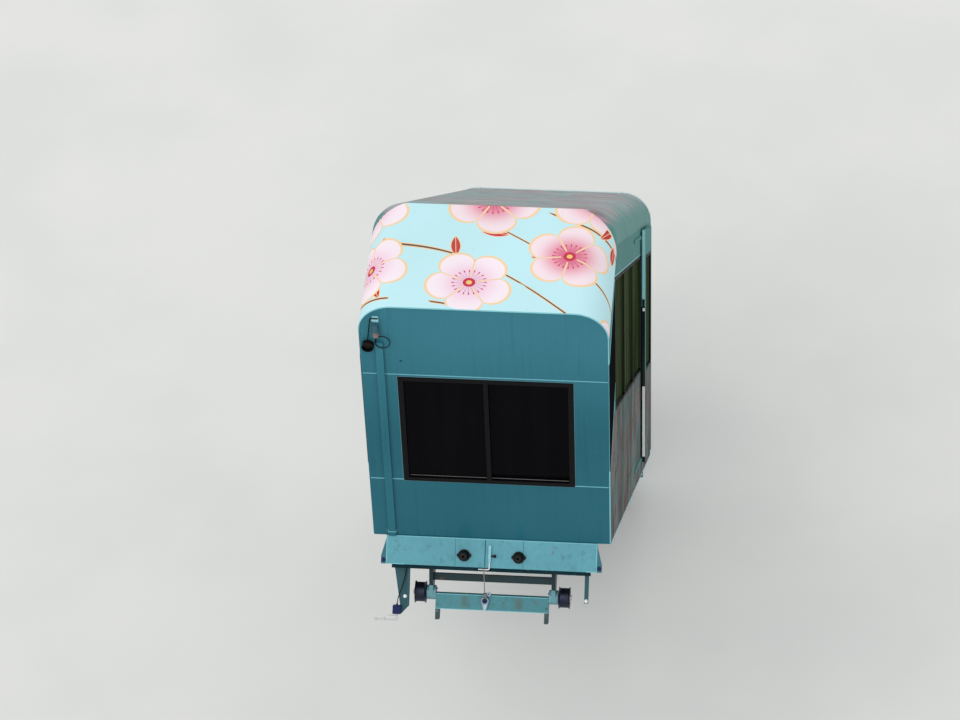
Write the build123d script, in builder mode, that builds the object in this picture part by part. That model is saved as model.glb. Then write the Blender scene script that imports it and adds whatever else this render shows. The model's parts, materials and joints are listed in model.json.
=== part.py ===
from build123d import *
from math import cos, radians, sin, tan
import os

os.makedirs("parts", exist_ok=True)

# A funicular car with a stepped cabin for a steep track. Sizes are in millimetres.
# +Z is straight up, +Y runs downhill over the ground and +X is the right side, looking downhill.
# The origin lies on the plane of the rail tops, on the centre line, midway between the axles.
# "along" is a distance down the slope of the rails, "over" a height square to the rail tops.

# Slope of the track and steps of the cabin
slope_deg = 42
level_count = 5
level_pitch = 1130
tread_height = 160
tread_thickness = 30
riser_thickness = 25
steps_per_level = 4
aisle_width = 560

# Shell of the cabin
body_width = 1800
end_height = 2445
flat_roof_depth = 1075
corner_radius = 250
wall = 40
roof_lip = 10
roof_lip_round = 8
wall_round = 10
skirt_over = 530
pan_thickness = 60
sill_band = 200
window_low = 1010
# From the line where the roof starts to curve down to the head of the side windows
window_header = 236

# Window in each end wall. The uphill sill is measured from the foot of the wall, and the downhill head
# from the line where the roof starts to curve down
end_window_width = 1274
end_window_height = 1104
uphill_sill = 625
downhill_header = 112
end_frame_face = 38
end_frame_depth = 52
end_frame_proud = 6
stile_width = 34
pane_thickness = 6

# Side windows, measured over the ground from the uphill wall
long_window_start = 650
long_window_end = 3950
window_post = 200
short_window_width = 870
side_frame_face = 32
side_frame_proud = 3
mullion = 30
bays = 3

# Doorway and sliding door on the right side
door_post = 90
doorway_width = 940
doorway_low = sill_band
# The doorway and the leaf end this far under the line where the roof starts to curve
doorway_header = 96
leaf_header = 11
leaf_lap = 40
leaf_low = 145
leaf_gap = 16
leaf_thickness = 24
leaf_stile = 130
door_travel = 1260
door_rail_height = 30
door_rail_thickness = 10
shoe_length = 120
shoe_height = 34
shoe_gap = 6
running_gap = 0.3
edge_strip_thickness = 3
edge_strip_low = 200
edge_strip_high = 870

# Benches
bench_depth = 420
plinth_height = 360
plinth_depth = 370
cushion_height = 75
back_height = 440
back_thickness = 60
bench_end_gap = 20

# Undercarriage
# Axles, measured along the rails from the ends of the cabin
axle_setback = 250
gauge = 1100
beam_x = 467
beam_size = 150
beam_flange = 10
beam_web = 7
headstock_depth = 100
headstock_inset = 160
headstock_low = 350
headstock_wall = 8
cross_tube_width = 60
cross_tube_height = 100
cross_tube_count = 6
tread_radius = 75
tread_width = 60
flange_radius = 86
flange_width = 12
hub_radius = 38
rim_thickness = 18
disc_thickness = 14
axle_radius = 20
bearing_radius = 55
bearing_length = 70
pedestal_thickness = 30
pedestal_top = 300
axle_beam_height = 120
axle_beam_depth = 90
axle_beam_low = -45
brace_low = 173
brace_size = 53
claw_length = 83
claw_thickness = 30

# Apron, rope fittings and guards at the uphill end
apron_inset = 100
apron_height = 220
apron_plate = 8
apron_return = 60
apron_lip = 25
seam_width = 4
seam_depth = 2
seams = [-275, -48, 240]
lug_reach = 38
lug_top = 200
lug_step = 60
lug_hole_radius = 12
socket_x = 207
socket_over = 399
socket_flange_radius = 46
socket_flange = 10
socket_length = 95
socket_lobe_x = 40
socket_lobe_radius = 16
rope_hole_radius = 9
rope_hole_depth = 70
guard_outer_inset = 148
guard_inner_inset = 278
guard_toe_inset = 220
guard_low = -79
guard_toe_rise = 64
guard_plate = 12
guard_rib = 60
hanger_inset = 160
hanger_width = 32
hanger_low = 60

# Slack-rope lever on the uphill apron, with the link down to the axle beam
lever_x = -12
lever_top = 484
lever_low = 355
lever_width = 20
lever_thickness = 6
lever_round = 5
lever_standoff = 14
pin_over = 402
pin_radius = 6
pin_reach = 38
knob_radius = 11
knob_length = 20
crank_low = 299
crank_end_x = -95
crank_radius = 4.5
crank_bend = 12
link_x = -53
link_radius = 4
eye_wall = 4
eye_length = 12
anchor_over = 20
anchor_width = 34
anchor_height = 52
anchor_depth = 16
fork_width = 24
fork_length = 70
fork_slot = 8

# Limit switch, and the fittings of the uphill wall, measured from the foot of the wall
switch_inset = 157
switch_width = 63
switch_height = 66
switch_depth = 46
switch_round = 6
arm_radius = 8
arm_drop = 48
arm_length = 180
roller_radius = 11
roller_length = 22
duct_inset = 145
duct_width = 57
duct_low = 12
duct_proud = 22
bracket_inset = 130
bracket_width = 46
bracket_plate = 6
bracket_proud = 44
horn_inset = 66
horn_height = 2065
horn_radius = 45
horn_depth = 34
horn_rim = 7
horn_recess = 18
rod_radius = 4.5
rod_bend = 14
rod_reach = 30
# Heights over the centre of the horn
duct_rise = 22
bracket_rise = 270
siren_rise = 100
siren_height = 120
siren_radius = 20
siren_cap_radius = 24
siren_cap_height = 14
cable_radius = 3.5
gland_radius = 7
gland_height = 14
loop_inset = 176
loop_rise = 37
loop_radius = 52
loop_pitch = 9
loop_points = 8

slope = radians(slope_deg)
down = sin(slope)
level = cos(slope)


rails = Plane(origin=(0, 0, 0), x_dir=(1, 0, 0), z_dir=(0, down, level))
along_axis = Axis((0, 0, 0), (0, level, -down))


def height_at(y, over):
    """Height of the line that runs this far over the rail tops, at the ground distance y."""
    return (over - y * down) / level


def place(along, over):
    """Ground distance and height of a point given along and over the rails."""
    return (along * level + over * down, over * level - along * down)


def across_rails(along):
    """Plane square to the rails: local x is +X, local y is over, and its normal points uphill."""
    y, z = place(along, 0)
    return Plane(origin=(0, y, z), x_dir=(1, 0, 0), z_dir=(0, -level, down))


def beside_rails(x):
    """Upright plane along the rails: local x is along, local y is over, and its normal is +X."""
    return Plane(origin=(x, 0, 0), x_dir=(0, level, -down), z_dir=(1, 0, 0))


def upright_at(y):
    """Upright plane across the car: local x is +X, local y is height, and its normal is -Y."""
    return Plane(origin=(0, y, 0), x_dir=(1, 0, 0), z_dir=(0, -1, 0))


def facing_downhill(y):
    """Cutting plane whose normal is +Y."""
    return Plane(origin=(0, y, 0), x_dir=(1, 0, 0), z_dir=(0, 1, 0))


def band(y_from, y_to, over_from, over_to, mode=Mode.ADD):
    """Panel outline with upright ends and edges that follow the rails."""
    corners = [
        (y_from, height_at(y_from, over_from)),
        (y_to, height_at(y_to, over_from)),
        (y_to, height_at(y_to, over_to)),
        (y_from, height_at(y_from, over_to)),
    ]
    Polygon(*corners, align=None, mode=mode)


def keep_below(z):
    """Trims the panel outline at the height z."""
    with Locations((0, z)):
        Rectangle(4 * body_length, 4 * body_length, align=(Align.CENTER, Align.MAX), mode=Mode.INTERSECT)


def oblong(x_low, x_high, z_low, z_high, mode=Mode.ADD):
    """Rectangle between these limits."""
    with Locations(((x_low + x_high) / 2, (z_low + z_high) / 2)):
        Rectangle(x_high - x_low, z_high - z_low, mode=mode)


def spot(x, along, over):
    """Point given across the car, along the rails and over them."""
    y, z = place(along, over)
    return Vector(x, y, z)


def cord_line(points):
    """Straight runs joined by tangent arcs, each arc as large as its two runs allow."""
    radii = []
    for before, here, after in zip(points, points[1:], points[2:]):
        turn = radians((here - before).get_angle(after - here))
        run = min((here - before).length, (after - here).length)
        radii.append(0.45 * run / tan(turn / 2))
    print("smallest bend", round(min(radii)))
    return FilletPolyline(*points, radius=radii)


def round_corners(piece, face_y):
    """Rounds the upright outer corners of an end wall."""
    corners = [
        edge
        for edge in piece.edges().filter_by(Axis.Z)
        if abs(abs(edge.center().X) - half_width) < running_gap
        and abs(edge.center().Y - face_y) < running_gap
    ]
    fillet(corners, wall_round)


def write(piece, name):
    """Labels a finished piece and writes its file."""
    piece.part.label = name
    export_step(piece.part, f"parts/{name}.step")


# Places that follow from the sizes above
body_length = level_count * level_pitch
half_width = body_width / 2
inner_x = half_width - wall
corner_along = -body_length / level / 2
y_up, z_up = place(corner_along, skirt_over)
y_down = y_up + body_length
z_down = height_at(y_down, skirt_over)
roof_top = z_up + end_height
fold_y = y_up + flat_roof_depth
roof_over = fold_y * down + roof_top * level
spring_over = roof_over - corner_radius
spring_z = roof_top - corner_radius
inside_up = y_up + wall
inside_down = y_down - wall
low_over = skirt_over + window_low
high_over = spring_over - window_header
fold_shift = tan(slope / 2)
fold_cut = Plane(
    origin=(0, fold_y, roof_top), x_dir=(1, 0, 0), z_dir=(0, cos(slope / 2), -sin(slope / 2))
)
short_window_start = long_window_end + window_post
short_window_end = short_window_start + short_window_width
doorway_start = long_window_end + door_post
doorway_end = doorway_start + doorway_width
wheel_base = 2 * (-corner_along - axle_setback)
door_from = y_up + doorway_start
door_to = y_up + doorway_end
leaf_x = half_width + leaf_gap
doorway_top = spring_over - doorway_header
leaf_top = spring_over - leaf_header
downhill_head = height_at(y_down, spring_over) - downhill_header
downhill_sill = downhill_head - end_window_height - z_down
aisle_inner_x = inner_x - aisle_width
headstock_half = half_width - headstock_inset
apron_half = half_width - apron_inset
guard_outer_x = half_width - guard_outer_inset
guard_inner_x = half_width - guard_inner_inset
guard_toe_x = half_width - guard_toe_inset
hanger_outer_x = half_width - hanger_inset
switch_outer_x = half_width - switch_inset
duct_x = duct_inset - half_width
bracket_x = bracket_inset - half_width
horn_x = horn_inset - half_width
loop_x = loop_inset - half_width

# Side walls. Each side is built up from a sill, a lower panel, window posts and an upper panel
side_planes = {"left": -half_width, "right": inner_x}
# Solid stretches of the wall beside the windows and the doorway, over the ground from the uphill wall
posts = {
    "left": [
        (wall, long_window_start),
        (long_window_end, short_window_start),
        (short_window_end, body_length - wall),
    ],
    "right": [
        (wall, long_window_start),
        (long_window_end, doorway_start),
        (doorway_end, body_length - wall),
    ],
}
lower_runs = {
    "left": [(wall, body_length - wall)],
    "right": [(wall, doorway_start), (doorway_end, body_length - wall)],
}

with BuildPart() as side_sills:
    for plane_x in side_planes.values():
        with BuildSketch(Plane.YZ.offset(plane_x)):
            band(inside_up, inside_down, skirt_over, skirt_over + sill_band)
    extrude(amount=wall)
write(side_sills, "side_sills")

with BuildPart() as side_posts:
    for side, plane_x in side_planes.items():
        with BuildSketch(Plane.YZ.offset(plane_x)):
            for start, end in posts[side]:
                band(y_up + start, y_up + end, low_over, high_over)
            keep_below(spring_z)
    extrude(amount=wall)
write(side_posts, "side_wall_posts")

for side, plane_x in side_planes.items():
    with BuildPart() as lower_panel:
        with BuildSketch(Plane.YZ.offset(plane_x)):
            for start, end in lower_runs[side]:
                band(y_up + start, y_up + end, skirt_over + sill_band, low_over)
        extrude(amount=wall)
    write(lower_panel, f"{side}_wall_lower")

    with BuildPart() as upper_panel:
        with BuildSketch(Plane.YZ.offset(plane_x)):
            band(inside_up, inside_down, high_over, spring_over)
            if side == "right":
                band(door_from, door_to, high_over, doorway_top, mode=Mode.SUBTRACT)
            keep_below(spring_z)
        extrude(amount=wall)
    write(upper_panel, f"{side}_wall_upper")

# End walls, split at the top and the bottom of their windows. The roof's skin laps over their tops
window_half = end_window_width / 2
lipped_half = half_width - roof_lip

with BuildPart() as uphill_wall_lower:
    with BuildSketch(upright_at(inside_up)):
        oblong(-half_width, half_width, z_up, z_up + uphill_sill)
    extrude(amount=wall)
    round_corners(uphill_wall_lower, y_up)
write(uphill_wall_lower, "uphill_wall_lower")

with BuildPart() as end_posts:
    for back_y, sill_z in [(inside_up, z_up + uphill_sill), (y_down, z_down + downhill_sill)]:
        with BuildSketch(upright_at(back_y)):
            oblong(-half_width, -window_half, sill_z, sill_z + end_window_height)
            oblong(window_half, half_width, sill_z, sill_z + end_window_height)
    extrude(amount=wall)
    round_corners(end_posts, y_up)
    round_corners(end_posts, y_down)
write(end_posts, "end_wall_posts")

with BuildPart() as uphill_wall_upper:
    with BuildSketch(upright_at(inside_up)) as upper_outline:
        oblong(-lipped_half, lipped_half, z_up + uphill_sill + end_window_height, roof_top - roof_lip)
        fillet(upper_outline.vertices().group_by(Axis.Y)[-1], corner_radius - roof_lip)
        oblong(-half_width, half_width, z_up + uphill_sill + end_window_height, spring_z)
    extrude(amount=wall)
    round_corners(uphill_wall_upper, y_up)
write(uphill_wall_upper, "uphill_wall_upper")

with BuildPart() as downhill_wall_lower:
    with BuildSketch(upright_at(y_down)):
        oblong(-half_width, half_width, z_down, z_down + downhill_sill)
    extrude(amount=wall)
    round_corners(downhill_wall_lower, y_down)
    split(bisect_by=rails.offset(skirt_over), keep=Keep.TOP)
write(downhill_wall_lower, "downhill_wall_lower")

# The top of the downhill wall is the slope's own roof section, cut off between two upright planes
with BuildPart() as downhill_wall_upper:
    with BuildSketch(across_rails(-corner_along + body_length)) as roof_outline:
        oblong(-lipped_half, lipped_half, roof_over - end_height, roof_over - roof_lip)
        fillet(roof_outline.vertices().group_by(Axis.Y)[-1], corner_radius - roof_lip)
        oblong(-half_width, half_width, roof_over - end_height, spring_over)
    extrude(amount=2 * body_length)
    split(bisect_by=facing_downhill(inside_down), keep=Keep.TOP)
    split(bisect_by=facing_downhill(y_down), keep=Keep.BOTTOM)
    split(bisect_by=Plane.XY.offset(z_down + downhill_sill + end_window_height), keep=Keep.TOP)
    round_corners(downhill_wall_upper, y_down)
write(downhill_wall_upper, "downhill_wall_upper")

# Roof sheets, mitred where the level roof meets the sloping one
sheet_half = half_width - corner_radius
inner_fold_y = fold_y - wall * fold_shift

with BuildPart() as roof_level:
    with BuildSketch(Plane.YZ.offset(-sheet_half)):
        Polygon(
            (inside_up, roof_top - wall),
            (inner_fold_y, roof_top - wall),
            (fold_y, roof_top),
            (y_up, roof_top),
            (y_up, roof_top - roof_lip),
            (inside_up, roof_top - roof_lip),
            align=None,
        )
    extrude(amount=2 * sheet_half)
    fillet(roof_level.edges().filter_by(Axis.X).group_by(Axis.Y)[0].sort_by(Axis.Z)[-1], roof_lip_round)
write(roof_level, "roof_level")

with BuildPart() as roof_slope:
    with BuildSketch(Plane.YZ.offset(-sheet_half)):
        Polygon(
            (inner_fold_y, roof_top - wall),
            (inside_down, height_at(inside_down, roof_over - wall)),
            (inside_down, height_at(inside_down, roof_over - roof_lip)),
            (y_down, height_at(y_down, roof_over - roof_lip)),
            (y_down, height_at(y_down, roof_over)),
            (fold_y, roof_top),
            align=None,
        )
    extrude(amount=2 * sheet_half)
    fillet(roof_slope.edges().filter_by(Axis.X).group_by(Axis.Y)[-1].sort_by(Axis.Z)[-1], roof_lip_round)
write(roof_slope, "roof_slope")


def quarter_section(centre_height, thickness):
    """Section of the rounded cantrail on the right side."""
    with BuildLine() as ring:
        outer = CenterArc((sheet_half, centre_height), corner_radius, 0, 90)
        inner = CenterArc((sheet_half, centre_height), corner_radius - thickness, 0, 90)
        Line(outer @ 0, inner @ 0)
        Line(outer @ 1, inner @ 1)
    make_face(ring.edges())


with BuildPart() as cantrails_level:
    with BuildSketch(upright_at(fold_y)):
        quarter_section(spring_z, wall)
    extrude(amount=flat_roof_depth - wall)
    with BuildSketch(upright_at(inside_up)):
        quarter_section(spring_z, roof_lip)
    extrude(amount=wall)
    split(bisect_by=fold_cut, keep=Keep.BOTTOM)
    fillet(cantrails_level.edges().group_by(Axis.Y)[0].sort_by(SortBy.LENGTH)[-1], roof_lip_round)
    mirror(about=Plane.YZ)
write(cantrails_level, "cantrails_level")

with BuildPart() as cantrails_slope:
    for end_y, thickness in [(inside_down, wall), (y_down, roof_lip)]:
        with BuildSketch(across_rails(-corner_along + body_length)):
            quarter_section(spring_over, thickness)
        extrude(amount=3 * body_length)
        split(bisect_by=facing_downhill(end_y), keep=Keep.BOTTOM)
    split(bisect_by=fold_cut, keep=Keep.TOP)
    fillet(cantrails_slope.edges().group_by(Axis.Y)[-1].sort_by(SortBy.LENGTH)[-1], roof_lip_round)
    mirror(about=Plane.YZ)
write(cantrails_slope, "cantrails_slope")

# Sliding windows of the end walls: a frame with a middle stile and two panes on two tracks
frame_inner = window_half - end_frame_face
# Outer face of the wall, sign of the way in, sill height
end_windows = [(y_up, 1, z_up + uphill_sill), (y_down, -1, z_down + downhill_sill)]

with BuildPart() as end_frames:
    for face_y, inward, sill_z in end_windows:
        low = sill_z + end_frame_face
        high = sill_z + end_window_height - end_frame_face
        with BuildSketch(upright_at(face_y - inward * end_frame_proud)):
            oblong(-window_half, window_half, sill_z, sill_z + end_window_height)
            oblong(-frame_inner, -stile_width / 2, low, high, mode=Mode.SUBTRACT)
            oblong(stile_width / 2, frame_inner, low, high, mode=Mode.SUBTRACT)
        extrude(amount=-inward * end_frame_depth)
write(end_frames, "end_window_frames")

with BuildPart() as end_panes:
    for face_y, inward, sill_z in end_windows:
        low = sill_z + end_frame_face
        high = sill_z + end_window_height - end_frame_face
        for x_from, x_to, track in [(-frame_inner, -stile_width / 2, 1), (stile_width / 2, frame_inner, 2)]:
            with BuildSketch(upright_at(face_y + inward * track * end_frame_depth / 4)):
                oblong(x_from, x_to, low, high)
            extrude(amount=-inward * pane_thickness)
write(end_panes, "end_window_panes")


def bay_edges(start, end, count):
    """Glass edges between the frame and its mullions, over the ground from the uphill wall."""
    clear = (end - start - 2 * side_frame_face - (count - 1) * mullion) / count
    first = start + side_frame_face
    return [(first + i * (clear + mullion), first + i * (clear + mullion) + clear) for i in range(count)]


# Side windows: slanted frames with upright mullions
side_windows = {
    "left": [(long_window_start, long_window_end, bays), (short_window_start, short_window_end, 1)],
    "right": [(long_window_start, long_window_end, bays)],
}
frame_in = side_frame_face * level
frame_planes = {"left": -half_width - side_frame_proud, "right": inner_x}

with BuildPart() as side_frames:
    for side, frame_x in frame_planes.items():
        with BuildSketch(Plane.YZ.offset(frame_x)):
            for start, end, count in side_windows[side]:
                band(y_up + start, y_up + end, low_over, high_over)
                for glass_from, glass_to in bay_edges(start, end, count):
                    band(
                        y_up + glass_from, y_up + glass_to, low_over + frame_in, high_over - frame_in,
                        mode=Mode.SUBTRACT,
                    )
    extrude(amount=wall + side_frame_proud)
write(side_frames, "side_window_frames")

with BuildPart() as side_panes:
    for side, plane_x in side_planes.items():
        with BuildSketch(Plane.YZ.offset(plane_x + (wall - pane_thickness) / 2)):
            for start, end, count in side_windows[side]:
                for glass_from, glass_to in bay_edges(start, end, count):
                    band(y_up + glass_from, y_up + glass_to, low_over + frame_in, high_over - frame_in)
    extrude(amount=pane_thickness)
write(side_panes, "side_window_panes")

# Floor: a sloping pan, and on it level treads with upright risers
with BuildPart() as floor_pan:
    with BuildSketch(Plane.YZ.offset(-inner_x)):
        band(inside_up, inside_down, skirt_over, skirt_over + pan_thickness)
    extrude(amount=2 * inner_x)
write(floor_pan, "floor_pan")

tread_tops = [height_at(y_up + i * level_pitch, skirt_over) + tread_height for i in range(level_count)]
level_starts = [y_up + i * level_pitch for i in range(level_count + 1)]

with BuildPart() as floor_treads:
    with BuildSketch(Plane.YZ.offset(-inner_x)):
        for i in range(level_count):
            y_from = max(level_starts[i], inside_up)
            y_to = min(level_starts[i + 1], inside_down)
            oblong(y_from, y_to, tread_tops[i] - tread_thickness, tread_tops[i])
    extrude(amount=2 * inner_x)
write(floor_treads, "floor_treads")

with BuildPart() as floor_risers:
    with BuildSketch(Plane.YZ.offset(-inner_x)):
        for i in range(1, level_count):
            oblong(
                level_starts[i] - riser_thickness, level_starts[i],
                tread_tops[i] - tread_thickness, tread_tops[i - 1] - tread_thickness,
            )
    extrude(amount=2 * inner_x)
write(floor_risers, "floor_risers")

# Steps in the aisle, between one level and the next
step_rise = level_pitch * tan(slope) / steps_per_level
step_going = level_pitch / steps_per_level

with BuildPart() as aisle_steps:
    with BuildSketch(Plane.YZ.offset(aisle_inner_x)):
        for i in range(1, level_count):
            for step in range(steps_per_level - 1):
                oblong(
                    level_starts[i] + step * step_going, level_starts[i] + (step + 1) * step_going,
                    tread_tops[i], tread_tops[i] + (steps_per_level - 1 - step) * step_rise,
                )
    extrude(amount=inner_x - aisle_inner_x)
write(aisle_steps, "aisle_steps")

# Benches on the left, one on each level, each with its back to the riser behind it
bench_right = aisle_inner_x - bench_end_gap
bench_starts = [max(start, inside_up) for start in level_starts[:-1]]

with BuildPart() as bench_plinths:
    with BuildSketch(Plane.YZ.offset(-inner_x)):
        for start, floor_z in zip(bench_starts, tread_tops):
            oblong(start, start + plinth_depth, floor_z, floor_z + plinth_height)
    extrude(amount=inner_x + bench_right)
write(bench_plinths, "bench_plinths")

with BuildPart() as bench_cushions:
    with BuildSketch(Plane.YZ.offset(-inner_x + running_gap)):
        for start, floor_z in zip(bench_starts, tread_tops):
            seat_z = floor_z + plinth_height
            oblong(start + running_gap, start + bench_depth, seat_z, seat_z + cushion_height)
    extrude(amount=inner_x + bench_right - running_gap)
    fillet(bench_cushions.edges().filter_by(Axis.X).group_by(Axis.Y)[-1], cushion_height / 3)
write(bench_cushions, "bench_cushions")

with BuildPart() as bench_backs:
    with BuildSketch(Plane.YZ.offset(-inner_x + running_gap)):
        for start, floor_z in zip(bench_starts[1:], tread_tops[1:]):
            back_z = floor_z + plinth_height + cushion_height + bench_end_gap
            oblong(start + running_gap, start + back_thickness, back_z, back_z + back_height)
    extrude(amount=inner_x + bench_right - running_gap)
write(bench_backs, "bench_backs")

# Sliding door, outside the right wall
with BuildPart() as door_leaf:
    with BuildSketch(Plane.YZ.offset(leaf_x)):
        band(door_from - leaf_lap, door_to + leaf_lap, skirt_over + leaf_low, leaf_top)
        band(
            door_from - leaf_lap + leaf_stile, door_to + leaf_lap - leaf_stile, low_over, high_over,
            mode=Mode.SUBTRACT,
        )
    extrude(amount=leaf_thickness)
write(door_leaf, "door_leaf")

glass_from = door_from - leaf_lap + leaf_stile
glass_to = door_to + leaf_lap - leaf_stile
with BuildPart() as door_window_frame:
    with BuildSketch(Plane.YZ.offset(leaf_x)):
        band(glass_from, glass_to, low_over, high_over)
        band(
            glass_from + side_frame_face, glass_to - side_frame_face,
            low_over + frame_in, high_over - frame_in, mode=Mode.SUBTRACT,
        )
    extrude(amount=leaf_thickness + side_frame_proud)
write(door_window_frame, "door_window_frame")

with BuildPart() as door_pane:
    with BuildSketch(Plane.YZ.offset(leaf_x + (leaf_thickness - pane_thickness) / 2)):
        band(
            glass_from + side_frame_face, glass_to - side_frame_face,
            low_over + frame_in, high_over - frame_in,
        )
    extrude(amount=pane_thickness)
write(door_pane, "door_pane")

# Stainless strip on the lower part of the leaf's uphill edge
leaf_from = door_from - leaf_lap
with BuildPart() as edge_strip:
    with BuildSketch(Plane.YZ.offset(leaf_x)):
        band(
            leaf_from - edge_strip_thickness, leaf_from,
            skirt_over + edge_strip_low, skirt_over + edge_strip_high,
        )
    extrude(amount=leaf_thickness)
write(edge_strip, "door_edge_strip")

# Rails that carry the door, and the shoes that run on them
rail_overs = [skirt_over + doorway_low - door_rail_height - shoe_gap, doorway_top + shoe_gap]
rail_from = leaf_from - door_travel * level
rail_to = door_to + leaf_lap

with BuildPart() as door_rails:
    with BuildSketch(Plane.YZ.offset(half_width)):
        for rail_over in rail_overs:
            band(rail_from, rail_to, rail_over, rail_over + door_rail_height)
    extrude(amount=door_rail_thickness)
write(door_rails, "door_rails")

with BuildPart() as door_shoes:
    with BuildSketch(Plane.YZ.offset(half_width + shoe_gap)):
        for rail_over in rail_overs:
            shoe_low = rail_over + door_rail_height + running_gap
            for shoe_from in (door_from, door_to - shoe_length):
                band(shoe_from, shoe_from + shoe_length, shoe_low, shoe_low + shoe_height)
    extrude(amount=leaf_gap - shoe_gap)
write(door_shoes, "door_shoes")

# Frame under the cabin: two beams along the rails, tubes between them and a headstock at each end
beam_low = skirt_over - beam_size
frame_half = -corner_along - headstock_depth

with BuildPart() as main_beams:
    channel = (beam_size - beam_web) / 2
    with BuildSketch(across_rails(-frame_half)):
        for beam_side in (-1, 1):
            with Locations((beam_side * beam_x, beam_low + beam_size / 2)):
                Rectangle(beam_size, beam_size)
                for web_side in (-1, 1):
                    with Locations((web_side * (beam_web + channel) / 2, 0)):
                        Rectangle(channel, beam_size - 2 * beam_flange, mode=Mode.SUBTRACT)
    extrude(amount=-2 * frame_half)
write(main_beams, "main_beams")

tube_room = beam_x - beam_web / 2
tube_pitch = 2 * (frame_half - cross_tube_width) / (cross_tube_count - 1)
with BuildPart() as cross_tubes:
    with BuildSketch(beside_rails(-tube_room)):
        for i in range(cross_tube_count):
            centre = (i - (cross_tube_count - 1) / 2) * tube_pitch
            with Locations((centre, beam_low + beam_size / 2)):
                Rectangle(cross_tube_width, cross_tube_height)
    extrude(amount=2 * tube_room)
write(cross_tubes, "cross_tubes")

# A channel across each end of the beams, and the apron in front of it, with its returns and lip
ends = {"uphill": -1, "downhill": 1}
with BuildPart() as headstocks:
    with BuildSketch(beside_rails(-headstock_half)):
        for outward in ends.values():
            centre = outward * (frame_half + headstock_depth / 2)
            with Locations((centre, headstock_low + beam_size / 2)):
                Rectangle(headstock_depth, beam_size)
            with Locations((centre - outward * headstock_wall, headstock_low + beam_size / 2)):
                Rectangle(headstock_depth, beam_size - 2 * headstock_wall, mode=Mode.SUBTRACT)
    extrude(amount=2 * headstock_half)
write(headstocks, "headstocks")

apron_low = skirt_over - apron_height
with BuildPart() as aprons:
    for outward in ends.values():
        face_along = outward * (frame_half + headstock_depth)
        with BuildSketch(across_rails(face_along)):
            oblong(-apron_half, apron_half, apron_low, skirt_over)
            for side in (-1, 1):
                Polygon(
                    (side * apron_half, apron_low + lug_top),
                    (side * (apron_half + lug_reach), apron_low + lug_step),
                    (side * (apron_half + lug_reach), apron_low),
                    (side * apron_half, apron_low),
                    align=None,
                )
                with Locations((side * (apron_half + lug_reach / 2), apron_low + lug_step / 2)):
                    Circle(lug_hole_radius, mode=Mode.SUBTRACT)
        extrude(amount=-outward * apron_plate)
        with BuildSketch(across_rails(face_along + outward * (apron_plate - seam_depth))):
            for seam_x in seams:
                oblong(seam_x - seam_width / 2, seam_x + seam_width / 2, apron_low, skirt_over)
        extrude(amount=-outward * seam_depth, mode=Mode.SUBTRACT)
        with BuildSketch(across_rails(face_along)):
            oblong(-apron_half, -apron_half + apron_plate, apron_low, skirt_over)
            oblong(apron_half - apron_plate, apron_half, apron_low, skirt_over)
        extrude(amount=outward * apron_return)
        with BuildSketch(across_rails(face_along)):
            oblong(-apron_half, apron_half, apron_low, apron_low + apron_plate)
        extrude(amount=outward * apron_lip)
write(aprons, "aprons")

# Wheel units
# Name, sign of the side, sign along the rails
wheel_places = [
    ("uphill_left", -1, -1), ("uphill_right", 1, -1), ("downhill_left", -1, 1), ("downhill_right", 1, 1),
]
tread_inner = gauge / 2 - tread_width / 2
bearing_outer = tread_inner - flange_width - shoe_gap
bearing_inner = bearing_outer - bearing_length

with BuildPart() as bearing_blocks:
    for name, side, end in wheel_places:
        axle_along = end * wheel_base / 2
        mid = (bearing_inner + bearing_outer) / 2
        with BuildSketch(beside_rails(side * mid - pedestal_thickness / 2)):
            with BuildLine():
                top_from = (axle_along - pedestal_top / 2, beam_low)
                top_to = (axle_along + pedestal_top / 2, beam_low)
                low_from = (axle_along - bearing_radius, tread_radius)
                low_to = (axle_along + bearing_radius, tread_radius)
                Line(low_from, top_from)
                Line(top_from, top_to)
                Line(top_to, low_to)
                RadiusArc(low_to, low_from, bearing_radius)
            make_face()
        extrude(amount=pedestal_thickness)
        with BuildSketch(beside_rails(side * mid - bearing_length / 2)):
            with Locations((axle_along, tread_radius)):
                Circle(bearing_radius)
        extrude(amount=bearing_length)
        with BuildSketch(beside_rails(side * mid - bearing_length / 2)):
            with Locations((axle_along, tread_radius)):
                Circle(axle_radius + running_gap)
        extrude(amount=bearing_length, mode=Mode.SUBTRACT)
write(bearing_blocks, "bearing_blocks")

for name, side, end in wheel_places:
    axle_y, axle_z = place(end * wheel_base / 2, tread_radius)
    with BuildPart() as wheel:
        # The section lies in an upright plane, x from the car's centre and height from the axle
        with BuildSketch(upright_at(axle_y)):
            with BuildLine():
                inner_face = tread_inner - flange_width
                outer_face = tread_inner + tread_width + flange_width
                disc_from = gauge / 2 - disc_thickness / 2
                disc_to = gauge / 2 + disc_thickness / 2
                points = [
                    (bearing_inner + running_gap, 0),
                    (bearing_inner + running_gap, axle_radius),
                    (inner_face, axle_radius),
                    (inner_face, hub_radius),
                    (disc_from, hub_radius),
                    (disc_from, tread_radius - rim_thickness),
                    (inner_face, tread_radius - rim_thickness),
                    (inner_face, flange_radius),
                    (tread_inner, tread_radius),
                    (tread_inner + tread_width, tread_radius),
                    (outer_face, flange_radius),
                    (outer_face, tread_radius - rim_thickness),
                    (disc_to, tread_radius - rim_thickness),
                    (disc_to, hub_radius),
                    (outer_face, hub_radius),
                    (outer_face, 0),
                ]
                Polyline(*[(side * x, axle_z + r) for x, r in points], close=True)
            make_face()
        revolve(axis=Axis((0, axle_y, axle_z), (1, 0, 0)))
    write(wheel, f"wheel_{name}")

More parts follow.
